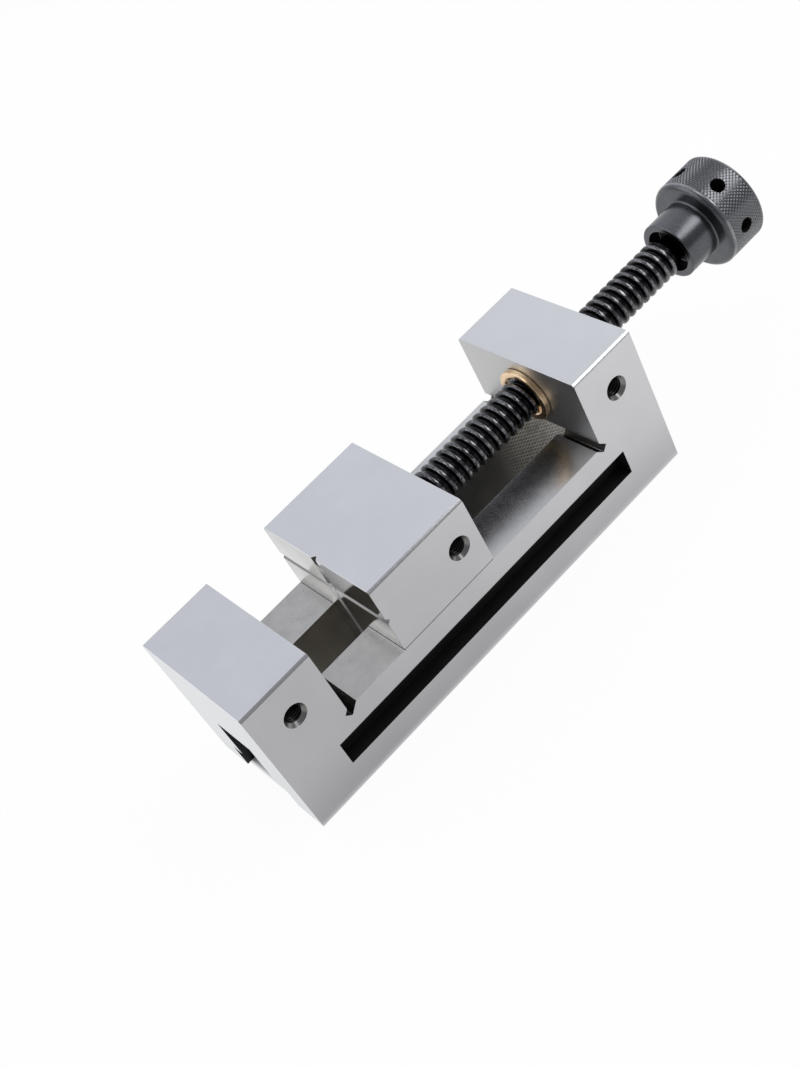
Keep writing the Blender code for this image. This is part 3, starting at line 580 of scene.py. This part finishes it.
# The tapped holes' sunk mouths: steel darker than the body's, painted shade.
mouthShadeSteel = roughFinish("mouthShadeSteel", (0.20, 0.198, 0.195), (0.30, 0.297, 0.292), 0.24, 1.0, 0.4, 0.01)
blackScrew = blackenedFinish(
    "blackScrew",
    low=((0.008, 0.008, 0.009), (0.02, 0.02, 0.022)),
    high=((0.05, 0.05, 0.054), (0.22, 0.22, 0.23)),
    reach=(0.0070, 0.0078),
    roughness=0.24,
    polish=0.10,
    grainSize=0.9,
    height=0.04,
)
blackKnob = blackenedFinish(
    "blackKnob",
    low=((0.095, 0.097, 0.105), (0.125, 0.127, 0.137)),
    high=((0.20, 0.202, 0.21), (0.31, 0.313, 0.323)),
    reach=(0.0191, 0.0194),
    roughness=0.25,
    polish=0.03,
    grainSize=0.6,
    height=0.01,
)
blackFastener = roughFinish("blackFastener", (0.03, 0.03, 0.032), (0.06, 0.06, 0.063), 0.4, 0.8, 0.4, 0.01)
nutBronze = roughFinish("nutBronze", (0.58, 0.38, 0.20), (0.95, 0.73, 0.48), 0.18, 1.0, 0.7, 0.01)
plateSteel = groundFinish("plateSteel", (0.40, 0.40, 0.405), (0.44, 0.44, 0.445), 0.32, "x")
ballSteel = lappedFinish("ballSteel", (0.6, 0.6, 0.62), 0.08)
pinSteel = groundFinish("pinSteel", (0.40, 0.40, 0.41), (0.44, 0.44, 0.45), 0.3, "x")
print("vise: finishes made")


# Vise body

body = {
    "bed": 33.0,
    "fixedJaw": 31.5,
    "rearBlock": 30.0,
    "slotHalf": 10.5,
    "slotTop": 32.0,
    "recessHalf": 16.5,
    "recessTop": 12.0,
    "clampEndWall": 22.0,
    "clampBottom": 12.0,
    "clampTop": 23.2,
    "clampDepth": 7.0,
    "reliefWidth": 3.2,
    "rearReliefDepth": 2.2,
    "frontReliefDepth": 3.9,
    "frontReliefFromJaw": 2.1,
    "topChamfer": 1.0,
    "edge": 0.16,
    "nutBore": 10.9,
    "slotShort": 0.3,  # how far the slot's upper part stops before the fixed jaw and the rear block
    "reliefPast": 3.0,  # how far the reliefs reach into those, and above and below the bed, at the most
    "reliefAbove": 2.4,
    "reliefBelow": 4.5,
}
halfWidth = bodyHigh[1]
bodyTop = bodyHigh[2]
bodyLength = bodyHigh[0]
rearBlockX = bodyLength - body["rearBlock"]


def relief(corner, lean, depth, fromCorner):  # an inner corner's 45 degree groove, from the wall to the bed
    reach = depth / math.sqrt(2)
    half = body["reliefWidth"] / (2 * math.sqrt(2))
    bed = body["bed"]
    mouth = corner + lean * fromCorner
    return [
        (corner, bed + 2 * half - fromCorner),
        (mouth - lean * (reach + half), bed - reach + half),
        (mouth - lean * (reach - half), bed - reach - half),
        (mouth + lean * 2 * half, bed),
    ]


def chamferedAlongX(mesh, width):  # flat chamfers on the top's long edges
    shape = bmesh.new()
    shape.from_mesh(mesh)
    top = bodyTop * mm
    long = [
        edge for edge in shape.edges
        if all(abs(vert.co.z - top) < mergeReach for vert in edge.verts)
        and abs(edge.verts[0].co.y - edge.verts[1].co.y) < mergeReach
    ]
    bmesh.ops.bevel(shape, geom=long, offset=width * mm, segments=1, affect="EDGES")
    shape.to_mesh(mesh)
    shape.free()
    return mesh


tapped = {
    "height": 49.0,
    "minor": 3.4,
    "major": 3.8,
    "sink": 4.8,
    "blindDepth": 16.0,
    "frontX": 16.0,
    "rearFromEnd": 14.0,
    "jawFromBack": 9.5,
    "intoBore": 1.4,
    "plainBottom": 0.4,
    "mouthPast": 0.6,  # how far the mouth's slope goes on past the side
}
tappedThread = {
    "pitch": 1.25,
    "crest": 0.35,
    "flank": 0.36,
    "depth": tapped["major"] - tapped["minor"],
    "ease": 0.06,
    "easeSteps": 2,
    "root": tapped["minor"],
    "phase": 0.0,
    "runOut": 0.6,
    "steps": 48,
}
rearHoleX = bodyLength - tapped["rearFromEnd"]


def tappedHole(x, side, bottom):
    # A tapped hole's space, from its bottom's distance off the middle to the side, with a sunk mouth.
    depth, minor = halfWidth - bottom, tapped["minor"]
    facts = {**tappedThread, "span": (tapped["plainBottom"], depth - (tapped["sink"] - minor))}
    low, top = [(0, 0), (minor, 0)], depth + tapped["mouthPast"]
    high = [(tapped["sink"] + tapped["mouthPast"], top), (0, top)]
    start = (x, side * bottom, tapped["height"])
    # the hole's thread is near black: painted shade
    return threaded("tapped", facts, low, high, start, (0, side, 0), holeShadeSteel)


def paintMouths(mesh):  # the holes' sunk mouths, which slant halfway between along and across
    normal, middle, number = faceFacts(mesh)
    low, high = facing["slanted"]
    slanted = (np.abs(normal[:, 1]) > low) & (np.abs(normal[:, 1]) < high)
    outside = np.abs(middle[:, 1]) > halfWidth - (tapped["sink"] - tapped["minor"])
    # the mouths get the darker steel: painted shade
    paint(mesh, mouthShadeSteel, slanted & outside & (np.abs(middle[:, 2] - tapped["height"]) < tapped["sink"]))


def makeBody():
    outline = [(0, 0), (bodyLength, 0), (bodyLength, bodyTop), (rearBlockX, bodyTop)]
    outline += relief(rearBlockX, -1, body["rearReliefDepth"], 0)
    outline += relief(body["fixedJaw"], 1, body["frontReliefDepth"], body["frontReliefFromJaw"])[::-1]
    outline += [(body["fixedJaw"], bodyTop), (0, bodyTop)]
    mesh = prism("vise", outline, "y", -halfWidth, halfWidth, groundSteel)
    mesh = chamferedAlongX(mesh, body["topChamfer"])
    slot, recess, step = body["slotHalf"], body["recessHalf"], body["recessTop"]
    channel = [(-recess, -past), (recess, -past), (recess, step), (slot, step)]
    channel += [(slot, body["slotTop"]), (-slot, body["slotTop"]), (-slot, step), (-recess, step)]
    low = (body["fixedJaw"] + body["slotShort"], -slot, step + past)
    high = (rearBlockX - body["slotShort"], slot, body["bed"] + past)
    cutters = [
        # the channel's and the slot's cut faces take the channel steel, partly painted shade
        prism("channel", channel, "x", -past, bodyLength + past, channelSteelWithPaintedLight),
        box("slot", low, high, channelSteelWithPaintedLight),
    ]
    for side in (-1, 1):
        depth = sorted((side * (halfWidth - body["clampDepth"]), side * (halfWidth + past)))
        low = (body["clampEndWall"], depth[0], body["clampBottom"])
        high = (bodyLength - body["clampEndWall"], depth[1], body["clampTop"])
        # the clamp slots' faces: near black, painted shade
        cutters.append(box("clampSlot", low, high, hollowShadeBlack))
    mesh = easedEdges(carved(mesh, cutters), body["edge"])
    cutters = []
    for side in (-1, 1):
        cutters.append(tappedHole(tapped["frontX"], side, halfWidth - tapped["blindDepth"]))
        cutters.append(tappedHole(rearHoleX, side, body["nutBore"] - tapped["intoBore"]))
    bore = rod(body["nutBore"], rearBlockX - past, bodyLength + past)
    cutters.append(turned("bore", bore, (0, 0, screwHeight), alongX, reliefShadeSteel))
    mesh = carved(mesh, cutters)
    normal, middle, number = faceFacts(mesh)
    slope, square, partly = np.abs(normal), facing["square"], facing["partly"]
    outer = number == 0  # the faces that no cutter made
    low, high = body["fixedJaw"] - body["reliefPast"], rearBlockX + body["reliefPast"]
    inside = (middle[:, 0] > low) & (middle[:, 0] < high)
    low, high = body["bed"] - body["reliefBelow"], body["bed"] + body["reliefAbove"]
    atBed = inside & (middle[:, 2] < high) & (middle[:, 2] > low)
    slanted = (slope[:, 0] > partly) & (slope[:, 2] > partly) & (slope[:, 1] < facing["hardly"])
    # the sides get the paler ground steel: painted light
    paint(mesh, groundSidePaintedLight, outer & (slope[:, 1] > square))
    # the ends get the paler ground steel: painted light
    paint(mesh, groundEndPaintedLight, outer & (slope[:, 0] > square))
    paint(mesh, lappedSteel, outer & inside & (normal[:, 0] > square))
    paint(mesh, blockSteel, outer & inside & (normal[:, 0] < -square))
    paint(mesh, railSteel, outer & atBed & (normal[:, 2] > square))
    # the reliefs' slanted faces: near black, painted shade
    paint(mesh, reliefShadeSteel, outer & atBed & slanted)
    paintMouths(mesh)
    settle("vise_block", mesh, "vise", "vise_body")


makeBody()
print("vise: body made")


# Movable jaw, its plate and their fasteners

jaw = {
    "bedGap": 0.2,
    "keelHalf": 10.4,
    "veeDepth": 1.5,
    "topChamfer": 1.0,
    "footChamfer": 0.4,
    "edge": 0.14,
    "boreRadius": 6.3,
    "boreDepth": 24.0,
}
jawX, jawBack = jawLow[0], jawHigh[0]
jawHoleX = jawBack - tapped["jawFromBack"]
plate = {"edge": 0.35, "holeTop": 20.0}
cap = {
    "fromEnd": 8.0,
    "fromMiddle": 5.5,
    "seat": 6.9,
    "headRadius": 4.25,
    "headHeight": 5.0,
    "shankRadius": 2.5,
    "shankLength": 15.7,
    "sinkRadius": 5.0,
    "sinkDepth": 7.2,
    "socket": 2.3,
    "socketDepth": 2.5,
    "washerRadius": 4.4,
    "washerThickness": 1.2,
    "washerRounding": 0.15,
    "splitLow": (1.0, -0.4, -1.0),  # the corners of the washer's split, from the middle of its seat
    "splitHigh": (9.0, 0.4, 3.0),
    "gap": 0.3,
    "holeBelow": 0.2,
    "holeHeight": 13.0,
    "rounding": [0, 0.4, 0.1, 0.1, 0.5, 0],  # at each corner of the profile
}
capPlaces = [
    (x, side * cap["fromMiddle"])
    for x in (jawX + cap["fromEnd"], jawBack - cap["fromEnd"])
    for side in (-1, 1)
]


def makeJaw():
    bed = body["bed"] + jaw["bedGap"]
    keel, chamfer, top = jaw["keelHalf"], jaw["topChamfer"], jawHigh[2]
    outline = [(-halfWidth, bed), (-keel, bed), (-keel, jawLow[2]), (keel, jawLow[2]), (keel, bed)]
    outline += [(halfWidth, bed), (halfWidth, top - chamfer), (halfWidth - chamfer, top)]
    outline += [(chamfer - halfWidth, top), (-halfWidth, top - chamfer)]
    mesh = prism("jaw", outline, "x", jawX, jawBack, groundSteel)
    deepest, front = jawX + jaw["veeDepth"], jawX - shortPast
    reach = jaw["veeDepth"] + shortPast
    lying = [(deepest, screwHeight), (front, screwHeight + reach), (front, screwHeight - reach)]
    upright = [(deepest, 0), (front, reach), (front, -reach)]
    cutters = [
        prism("lyingVee", lying, "y", -halfWidth - past, halfWidth + past, lappedSteel),
        prism("uprightVee", upright, "z", jawLow[2] - past, top + past, lappedSteel),
    ]
    slope = jawX + bed + jaw["footChamfer"]  # on the foot's chamfer, x + z is this
    under = bed - shortPast
    foot = [(slope - bed + shortPast, under), (front, slope - jawX + shortPast), (front, under)]
    # the foot's chamfers take the near-black relief steel: a painted shadow line along the jaw's foot
    for low, high in ((-halfWidth - past, -keel), (keel, halfWidth + past)):
        cutters.append(prism("foot", foot, "y", low, high, reliefShadeSteel))
    mesh = easedEdges(carved(mesh, cutters), jaw["edge"])
    bore = rod(jaw["boreRadius"], 0, jaw["boreDepth"] + past)
    boreStart = (jawBack - jaw["boreDepth"], 0, screwHeight)
    cutters = [turned("bore", bore, boreStart, alongX, reliefShadeSteel)]
    for side in (-1, 1):
        cutters.append(tappedHole(jawHoleX, side, jaw["boreRadius"] - tapped["intoBore"]))
    hole = rod(cap["shankRadius"] + cap["gap"], 0, cap["holeHeight"])
    for x, y in capPlaces:
        start = (x, y, plateHigh[2] - cap["holeBelow"])
        # the cap screws' holes are near black: painted shade
        cutters.append(turned("capHole", hole, start, alongZ, holeShadeSteel, steps=48))
    mesh = carved(mesh, cutters)
    normal, middle, number = faceFacts(mesh)
    outer, square = number == 0, facing["square"]
    # the jaw's sides get the paler ground steel: painted light
    paint(mesh, groundSidePaintedLight, outer & (np.abs(normal[:, 1]) > square))
    # the jaw's back gets the paler ground steel: painted light
    paint(mesh, groundEndPaintedLight, outer & (normal[:, 0] > square))
    paint(mesh, lappedSteel, outer & (normal[:, 0] < -square))
    paintMouths(mesh)
    settle("jaw_block", mesh, "jaw", "movable_jaw")


def makePlate():
    sink, shank = cap["sinkRadius"], cap["shankRadius"] + cap["gap"]
    rise, top = cap["sinkDepth"] + past, plate["holeTop"]
    hole = [(0, 0), (sink, 0), (sink, rise), (shank, rise), (shank, top), (0, top)]
    cutters = []
    for x, y in capPlaces:
        cutters.append(turned("sink", hole, (x, y, plateLow[2] - past), alongZ, plateSteel, steps=64))
    mesh = easedEdges(box("plate", plateLow, plateHigh, plateSteel), plate["edge"])
    settle("keel_plate", carved(mesh, cutters), "jaw", "hold_down_plate")


def hexSocket(radius, depth, start, axis):  # a six-sided key's space
    return turned("socket", rod(radius, -shortPast, depth), start, axis, blackFastener, steps=6)


def makeCapScrews():
    head, height = cap["headRadius"], cap["headHeight"]
    shank, length = cap["shankRadius"], cap["shankLength"]
    profile = [(0, length), (shank, length), (shank, 0), (head, 0), (head, -height), (0, -height)]
    profile = eased(profile, cap["rounding"])
    inner, outer, thick = shank + cap["gap"], cap["washerRadius"], cap["washerThickness"]
    ring = eased([(outer, thick), (outer, 0), (inner, 0), (inner, thick)], cap["washerRounding"])
    for number, (x, y) in enumerate(capPlaces, start=1):
        seat = np.array([x, y, cap["seat"]])
        mesh = turned("cap", profile, seat, alongZ, blackFastener, steps=64)
        socket = hexSocket(cap["socket"], cap["socketDepth"], seat - (0, 0, height), alongZ)
        mesh = carved(mesh, [socket])
        settle(f"cap_screw_{number}", mesh, "jaw", f"hold_down_screw_{number}")
        washer = turned("washer", ring, seat, alongZ, blackFastener, steps=64, ring=True)
        split = box("split", seat + cap["splitLow"], seat + cap["splitHigh"], blackFastener)
        mesh = carved(washer, [split])
        settle(f"spring_washer_{number}", mesh, "jaw", f"lock_washer_{number}")


setScrew = {
    "radius": 3.1,
    "length": 9.0,
    "socket": 2.3,
    "socketDepth": 3.0,
    "point": 2.4,
    "rounding": [0, 0.4, 0.4, 0.1, 0.1, 0],
    "dog": {"tip": 4.8, "pointLength": 1.8},  # its tip's distance from the middle plane, and its point
    "lock": {"tip": 10.9, "pointLength": 0.4},
}


def makeSetScrew(name, node, body, x, side, tip, pointLength):
    radius, point = setScrew["radius"], setScrew["point"]
    top = pointLength + setScrew["length"]
    profile = [(0, top), (radius, top), (radius, pointLength), (point, pointLength), (point, 0), (0, 0)]
    start, axis = (x, side * tip, screwHeight), (0, side, 0)
    mesh = turned("setScrew", eased(profile, setScrew["rounding"]), start, axis, blackFastener, steps=64)
    mouth = (x, side * (tip + top), screwHeight)
    socket = hexSocket(setScrew["socket"], setScrew["socketDepth"], mouth, (0, -side, 0))
    settle(name, carved(mesh, [socket]), body, node)


ballRows = 33


def makeBall():
    turn = np.linspace(0, math.pi, ballRows)
    radius = (ballHigh[2] - ballLow[2]) / 2
    profile = np.stack([radius * np.sin(turn), -radius * np.cos(turn)], axis=-1)
    start = ((ballLow[0] + ballHigh[0]) / 2, 0, screwHeight)
    mesh = turned("ball", profile, start, alongX, ballSteel, steps=64)
    settle("nose_ball", mesh, "jaw", "thrust_ball")


makeJaw()
makePlate()
makeCapScrews()
makeBall()
for word, side in (("left", -1), ("right", 1)):
    dog, lock = f"retaining_screw_{word}", f"nut_lock_screw_{word}"
    makeSetScrew(f"dog_screw_{word}", dog, "jaw", jawHoleX, side, **setScrew["dog"])
    makeSetScrew(f"lock_screw_{word}", lock, "vise", rearHoleX, side, **setScrew["lock"])
print("vise: jaw made")


# Lead screw and nut

leadThread = {
    "pitch": 4.0,
    "crest": 1.35,
    "flank": 0.62,
    "depth": 1.75,
    "ease": 0.36,
    "easeSteps": 3,
    "root": 6.25,
    "phase": 0.75,
    "runOut": 1.6,
    "steps": 64,
    "fromJaw": 1.6,
    "turns": 34,
}
threadX = jawBack + leadThread["fromJaw"]
screw = {
    "journal": 6.0,
    "groove": 4.5,
    "grooveHalf": 2.7,
    "shank": 5.5,
    "pocket": 3.3,
    "pocketDepth": 2.7,
    "frontRounding": [0, 0.5, 0.1, 0.2, 0.2, 0.1, 0],
    "backRounding": [0, 0.4, 0],
}


def makeLeadScrew():
    threadEnd = threadX + leadThread["turns"] * leadThread["pitch"]
    journal, groove, half = screw["journal"], screw["groove"], screw["grooveHalf"]
    nose, back = screwLow[0], screwHigh[0]
    low = [(0, nose), (journal, nose), (journal, jawHoleX - half), (groove, jawHoleX - half)]
    low += [(groove, jawHoleX + half), (journal, jawHoleX + half), (journal, threadX)]
    low = eased(low, screw["frontRounding"])
    high = eased([(screw["shank"], threadEnd), (screw["shank"], back), (0, back)], screw["backRounding"])
    facts = {**leadThread, "span": (threadX, threadEnd)}
    start = (0, 0, screwHeight)
    mesh = threaded("lead", facts, low, high, start, alongX, blackScrew)
    pocket = rod(screw["pocket"], nose - shortPast, nose + screw["pocketDepth"])
    cutters = [
        barHole(knob["firstAngle"], -knob["rimRadius"], blackScrew),
        turned("pocket", pocket, start, alongX, blackScrew, steps=48),
    ]
    settle("trapezoidal_screw", carved(mesh, cutters), "screw", "lead_screw")


nut = {
    "radius": 10.6,
    "flange": 11.5,
    "flangeThickness": 2.2,
    "clearance": 0.15,
    "mouth": 0.9,
    "rounding": [0, 0.3, 0.1, 0.2, 0.3, 0],
    "turnsBefore": 2,  # how far its thread's space goes on past its ends
    "turnsBehind": 3,
}


def makeNut():
    front, back = nutLow[0], nutHigh[0]
    seat = front + nut["flangeThickness"]
    profile = [(0, back), (nut["radius"], back), (nut["radius"], seat), (nut["flange"], seat)]
    profile += [(nut["flange"], front), (0, front)]
    start, pitch = (0, 0, screwHeight), leadThread["pitch"]
    mesh = turned("nut", eased(profile, nut["rounding"]), start, alongX, nutBronze)
    low = threadX + (math.floor((front - threadX) / pitch) - nut["turnsBefore"]) * pitch
    high = back + nut["turnsBehind"] * pitch
    clear = nut["clearance"]
    facts = {
        **leadThread,
        "span": (low, high),
        "root": leadThread["root"] + clear,
        "crest": leadThread["crest"] + 2 * clear,
    }
    thread = threaded("nutThread", facts, [(0, low)], [(0, high)], start, alongX, nutBronze)
    wide = leadThread["root"] + leadThread["depth"] + clear + nut["mouth"]
    cutters = []
    for place, way in ((front, 1), (back, -1)):
        outside = place - way * shortPast
        cone = [(0, place + way * wide), (wide + shortPast, outside), (0, outside)]
        cutters.append(turned("mouth", cone, start, alongX, nutBronze))
    settle("flanged_nut", carved(mesh, [*cutters, thread]), "vise", "screw_nut")


# Knob

knob = {
    "hubRadius": 12.3,
    "hubLength": 14.7,
    "fillet": 0.8,
    "recessRadius": 9.4,
    "recessDepth": 6.0,
    "rimRadius": 19.5,
    "frontRound": 2.4,
    "backEdge": 0.8,
    "bore": 5.8,
    "holeRadius": 3.0,
    "holeFloor": 9.0,
    "holeFromRim": 9.3,
    "holeCount": 6,
    "firstAngle": math.radians(63),
    "knurls": 78,
    "knurlLength": 1.9,
    "knurlDepth": 0.45,
    "knurlFlat": 1.15,  # above 1, which leaves a flat on each crest
    "knurlEase": 0.5,  # where the knurl fades out at the rim's ends
    "gridPerKnurl": 4,
    "roundSteps": 12,
    "innerRounding": [0, 0.2, 0.3, 0.35, 0.7, 0],
    "backRounding": [0.2, 0.3, 0.3, 0],
    "pinGap": 0.3,
    "pinRounding": [0, 0.3, 0.3, 0],
}
hubX = knobLow[0]
rimX = hubX + knob["hubLength"]
knobBack = knobHigh[0]
rimSlack = 0.001  # mm


def barHole(angle, floor, finish):  # the space of a bar hole, outwards from its floor's distance off the axis
    spoke = (0, math.cos(angle), math.sin(angle))
    start = (rimX + knob["holeFromRim"], 0, screwHeight)
    profile = rod(knob["holeRadius"], floor, knob["rimRadius"] + past)
    return turned("barHole", profile, start, spoke, finish, steps=48)


def knurl(turn, along):
    # Two sets of V grooves cross on the rim: at (turn, along) the height is the lower of two ridges, each
    # 1 on its crest and 0 in its groove, which wind opposite ways.
    ridges = [np.abs(2 * ((turn + way * along) % 1.0) - 1) for way in (-1, 1)]
    return np.clip(knob["knurlFlat"] * np.minimum(*ridges), 0, 1)


def makeKnob():
    radius, edge, perKnurl = knob["rimRadius"], knob["backEdge"], knob["gridPerKnurl"]
    knurlStart, knurlEnd = rimX + knob["frontRound"], knobBack - edge
    count = round((knurlEnd - knurlStart) / knob["knurlLength"] * perKnurl)
    rows = np.linspace(knurlStart, knurlEnd, count + 1)
    bore, recess, hub = knob["bore"], knob["recessRadius"], knob["hubRadius"]
    recessX = hubX + knob["recessDepth"]
    inner = [(bore, knobBack), (bore, recessX), (recess, recessX), (recess, hubX), (hub, hubX), (hub, rimX)]
    inner = eased(inner, knob["innerRounding"])[arcPoints:-arcPoints]
    turn = np.linspace(0, math.pi / 2, knob["roundSteps"] + 1)
    fillet, bend = knob["fillet"], knob["frontRound"]
    hollow = np.stack([hub + fillet * (1 - np.cos(turn)), rimX - fillet + fillet * np.sin(turn)], axis=-1)
    front = np.stack([radius - bend * (1 - np.sin(turn)), rimX + bend * (1 - np.cos(turn))], axis=-1)
    rim = np.stack([np.full(len(rows), radius), rows], axis=-1)[1:-1]
    back = [(radius, knurlEnd), (radius - edge, knobBack), (bore, knobBack), (bore, hubX)]
    back = eased(back, knob["backRounding"])[:-arcPoints]
    profile = np.concatenate([inner, hollow, front, rim, back])
    across, height = profile.T
    columns = np.arange(perKnurl * knob["knurls"])[None, :]
    angle = columns * 2 * math.pi / columns.size
    step = (height - knurlStart) / (rows[1] - rows[0]) / perKnurl
    onRim = (across > radius - rimSlack) & (height > rows[0]) & (height < rows[-1])
    ridge = knurl(columns / perKnurl, step[:, None])
    ease = np.clip(np.minimum(height - rows[0], rows[-1] - height) / knob["knurlEase"], 0, 1)
    depth = knob["knurlDepth"] * (onRim * ease)[:, None] * (1 - ridge)
    grid = roundAbout(profile[:, :1] - depth, angle, profile[:, 1:], (0, 0, screwHeight), alongX)
    mesh = gridMesh("knob", grid, blackKnob, closedRows=True, closedColumns=True)
    holes = []
    for number in range(knob["holeCount"]):
        opensIntoBore = number % (knob["holeCount"] // 2) == 0
        floor = 0 if opensIntoBore else knob["holeFloor"]
        # the bar holes' faces: near black, painted shade
        holes.append(barHole(knob["firstAngle"] + 2 * math.pi * number / knob["holeCount"], floor, hollowShadeBlack))
    settle("knurled_knob", carved(mesh, holes), "screw", "knob")


def makeKnobPin():
    angle, reach = knob["firstAngle"], knob["holeFloor"]
    spoke = (0, math.cos(angle), math.sin(angle))
    profile = eased(rod(knob["holeRadius"] - knob["pinGap"], -reach, reach), knob["pinRounding"])
    start = (rimX + knob["holeFromRim"], 0, screwHeight)
    mesh = turned("pin", profile, start, spoke, pinSteel, steps=48)
    settle("cross_pin", mesh, "screw", "knob_pin")


makeLeadScrew()
makeNut()
print("vise: screw and nut made")
makeKnob()
makeKnobPin()
print("vise: knob made")


# Floor, light and camera

stage = {
    "floorHalf": 4.0,  # metres
    "floorDrop": 0.00005,
    "glow": 0.95,  # how far the floor looks plain white to the camera
    "mirroredGlow": 0.85,  # and in the steel's reflections
    # In the steel's reflections the floor beside the vise has painted shade on the left and a painted shadow
    # at its foot.
    "leftPaintedShade": 0.34,  # beside the vise the reflections' floor is darker on the left, and at its foot
    "leftSpan": (0.12, -0.10),  # metres along x
    "footPaintedShadow": 0.28,
    "footReach": 0.024,  # metres from the vise's side
    "sideEdge": 0.002,
    "footprintInset": 0.0025,  # the floor under the vise gets no such glow
    "footprintEdge": 0.0015,
    "matt": (0.9, 0.9, 0.9),
}
white, black = (1, 1, 1), (0, 0, 0)


def makeFloor():
    half, drop = stage["floorHalf"], stage["floorDrop"]
    mesh = bpy.data.meshes.new("floor")
    corners = [(-half, -half, -drop), (half, -half, -drop), (half, half, -drop), (-half, half, -drop)]
    mesh.from_pydata(corners, [], [(0, 1, 2, 3)])
    finish = newFinish("paleFloor")
    straight = finish.node("ShaderNodeLightPath", output="Is Camera Ray")
    mirrored = finish.node("ShaderNodeLightPath", output="Is Glossy Ray")
    through = finish.node("ShaderNodeLightPath", output="Is Transmission Ray")
    along, across = finish.coordinate("X"), finish.coordinate("Y")
    edge, inset = stage["footprintEdge"], stage["footprintInset"]
    middle = frontEnd[0] + bodyLength * mm / 2
    endX, sideY = bodyLength * mm / 2 - inset, halfWidth * mm - inset
    beyond = (along - middle).maths("ABSOLUTE").clamped(endX, endX + edge)
    beside = across.maths("ABSOLUTE").clamped(sideY, sideY + edge)
    seen = straight * stage["glow"] + (mirrored + through) * stage["mirroredGlow"]
    seen = beyond.maths("MAXIMUM", beside) * seen
    sidePlane = -halfWidth * mm
    front = across.clamped(sidePlane, sidePlane - stage["sideEdge"])
    left = front * along.clamped(*stage["leftSpan"])
    foot = front * across.clamped(sidePlane - stage["footReach"], sidePlane)
    # painted shade on the left and a painted shadow at the foot, seen only in reflections
    paintedShade = (1 - left * stage["leftPaintedShade"]) * (1 - foot * stage["footPaintedShadow"])
    color = finish.blend(straight.maths("MAXIMUM", paintedShade), black, white)
    matt = finish.node("ShaderNodeBsdfDiffuse", {}, {"Color": opaque(stage["matt"])})
    glow = finish.node("ShaderNodeEmission", {}, {"Color": color, "Strength": 1.0})
    above = finish.node("ShaderNodeMixShader", {}, {0: seen, 1: matt, 2: glow})
    clear = finish.node("ShaderNodeBsdfTransparent")
    under = finish.node("ShaderNodeNewGeometry", output="Backfacing")
    finish.ends(finish.node("ShaderNodeMixShader", {}, {0: under, 1: above, 2: clear}))
    mesh.materials.append(finish.owner)
    asObject(mesh)


studio = {  # the colours of the room that the steel mirrors, and where one gives way to the next
    "right": (1.25, 1.27, 1.32),
    "middle": (0.88, 0.90, 0.97),
    "left": (0.35, 0.355, 0.37),
    "front": (0.31, 0.315, 0.33),
    "rightSpan": (0.1, 0.9),  # from -1 to 1 along x
    "leftSpan": (-0.4, -0.7),
    "backSpan": (-0.5, 0.5),  # from -1 to 1 along y
}


def makeWorld():
    world = bpy.data.worlds.new("studio")
    bpy.context.scene.world = world
    finish = Finish(world)
    right, behind = (finish.coordinate(axis, "Generated") for axis in "XY")
    room = finish.blend(right.clamped(*studio["rightSpan"]), studio["middle"], studio["right"])
    room = finish.blend(right.clamped(*studio["leftSpan"]), room, studio["left"])
    room = finish.blend(behind.clamped(*studio["backSpan"]), studio["front"], room)
    straight = finish.node("ShaderNodeLightPath", output="Is Camera Ray")
    color = finish.blend(straight, room, white)
    light = finish.node("ShaderNodeBackground", {}, {"Color": color, "Strength": 1.0})
    finish.ends(light, "ShaderNodeOutputWorld")


lamps = {
    "over": {"place": (0.05, -0.10, 1.30), "size": (0.6, 0.6), "watts": 1.0},
    "behindLeft": {"place": (-0.90, 0.60, 0.80), "size": (1.3, 1.3), "watts": 4.6},
    "strip": {"place": (0.67, -0.42, 0.84), "size": (0.84, 0.4), "watts": 3.6},
}


def makeLamps():
    for name, facts in lamps.items():
        light = bpy.data.lights.new(name, "AREA")
        light.shape = "ELLIPSE" if facts["size"][0] == facts["size"][1] else "RECTANGLE"
        light.size, light.size_y = facts["size"]
        light.energy = facts["watts"]
        lamp = bpy.data.objects.new(name, light)
        bpy.context.scene.collection.objects.link(lamp)
        lamp.location = facts["place"]
        lamp.rotation_euler = (-lamp.location).to_track_quat("-Z", "Y").to_euler()


camera = {
    "place": (-0.19495, -0.39954, 0.42456),
    "turn": (43.745, 22.759, -42.271),  # degrees
    "lens": 53.36,
    "sensor": 36.0,
    "near": 0.01,
    "far": 50.0,
}


def makeCamera():
    data = bpy.data.cameras.new("camera")
    data.lens = camera["lens"]
    data.sensor_width = camera["sensor"]
    data.clip_start = camera["near"]
    data.clip_end = camera["far"]
    eye = bpy.data.objects.new("camera", data)
    bpy.context.scene.collection.objects.link(eye)
    eye.location = camera["place"]
    eye.rotation_euler = [math.radians(angle) for angle in camera["turn"]]
    bpy.context.scene.camera = eye


makeFloor()
makeWorld()
makeLamps()
makeCamera()
bpy.context.scene.view_settings.view_transform = "Standard"
print("vise: stage made")
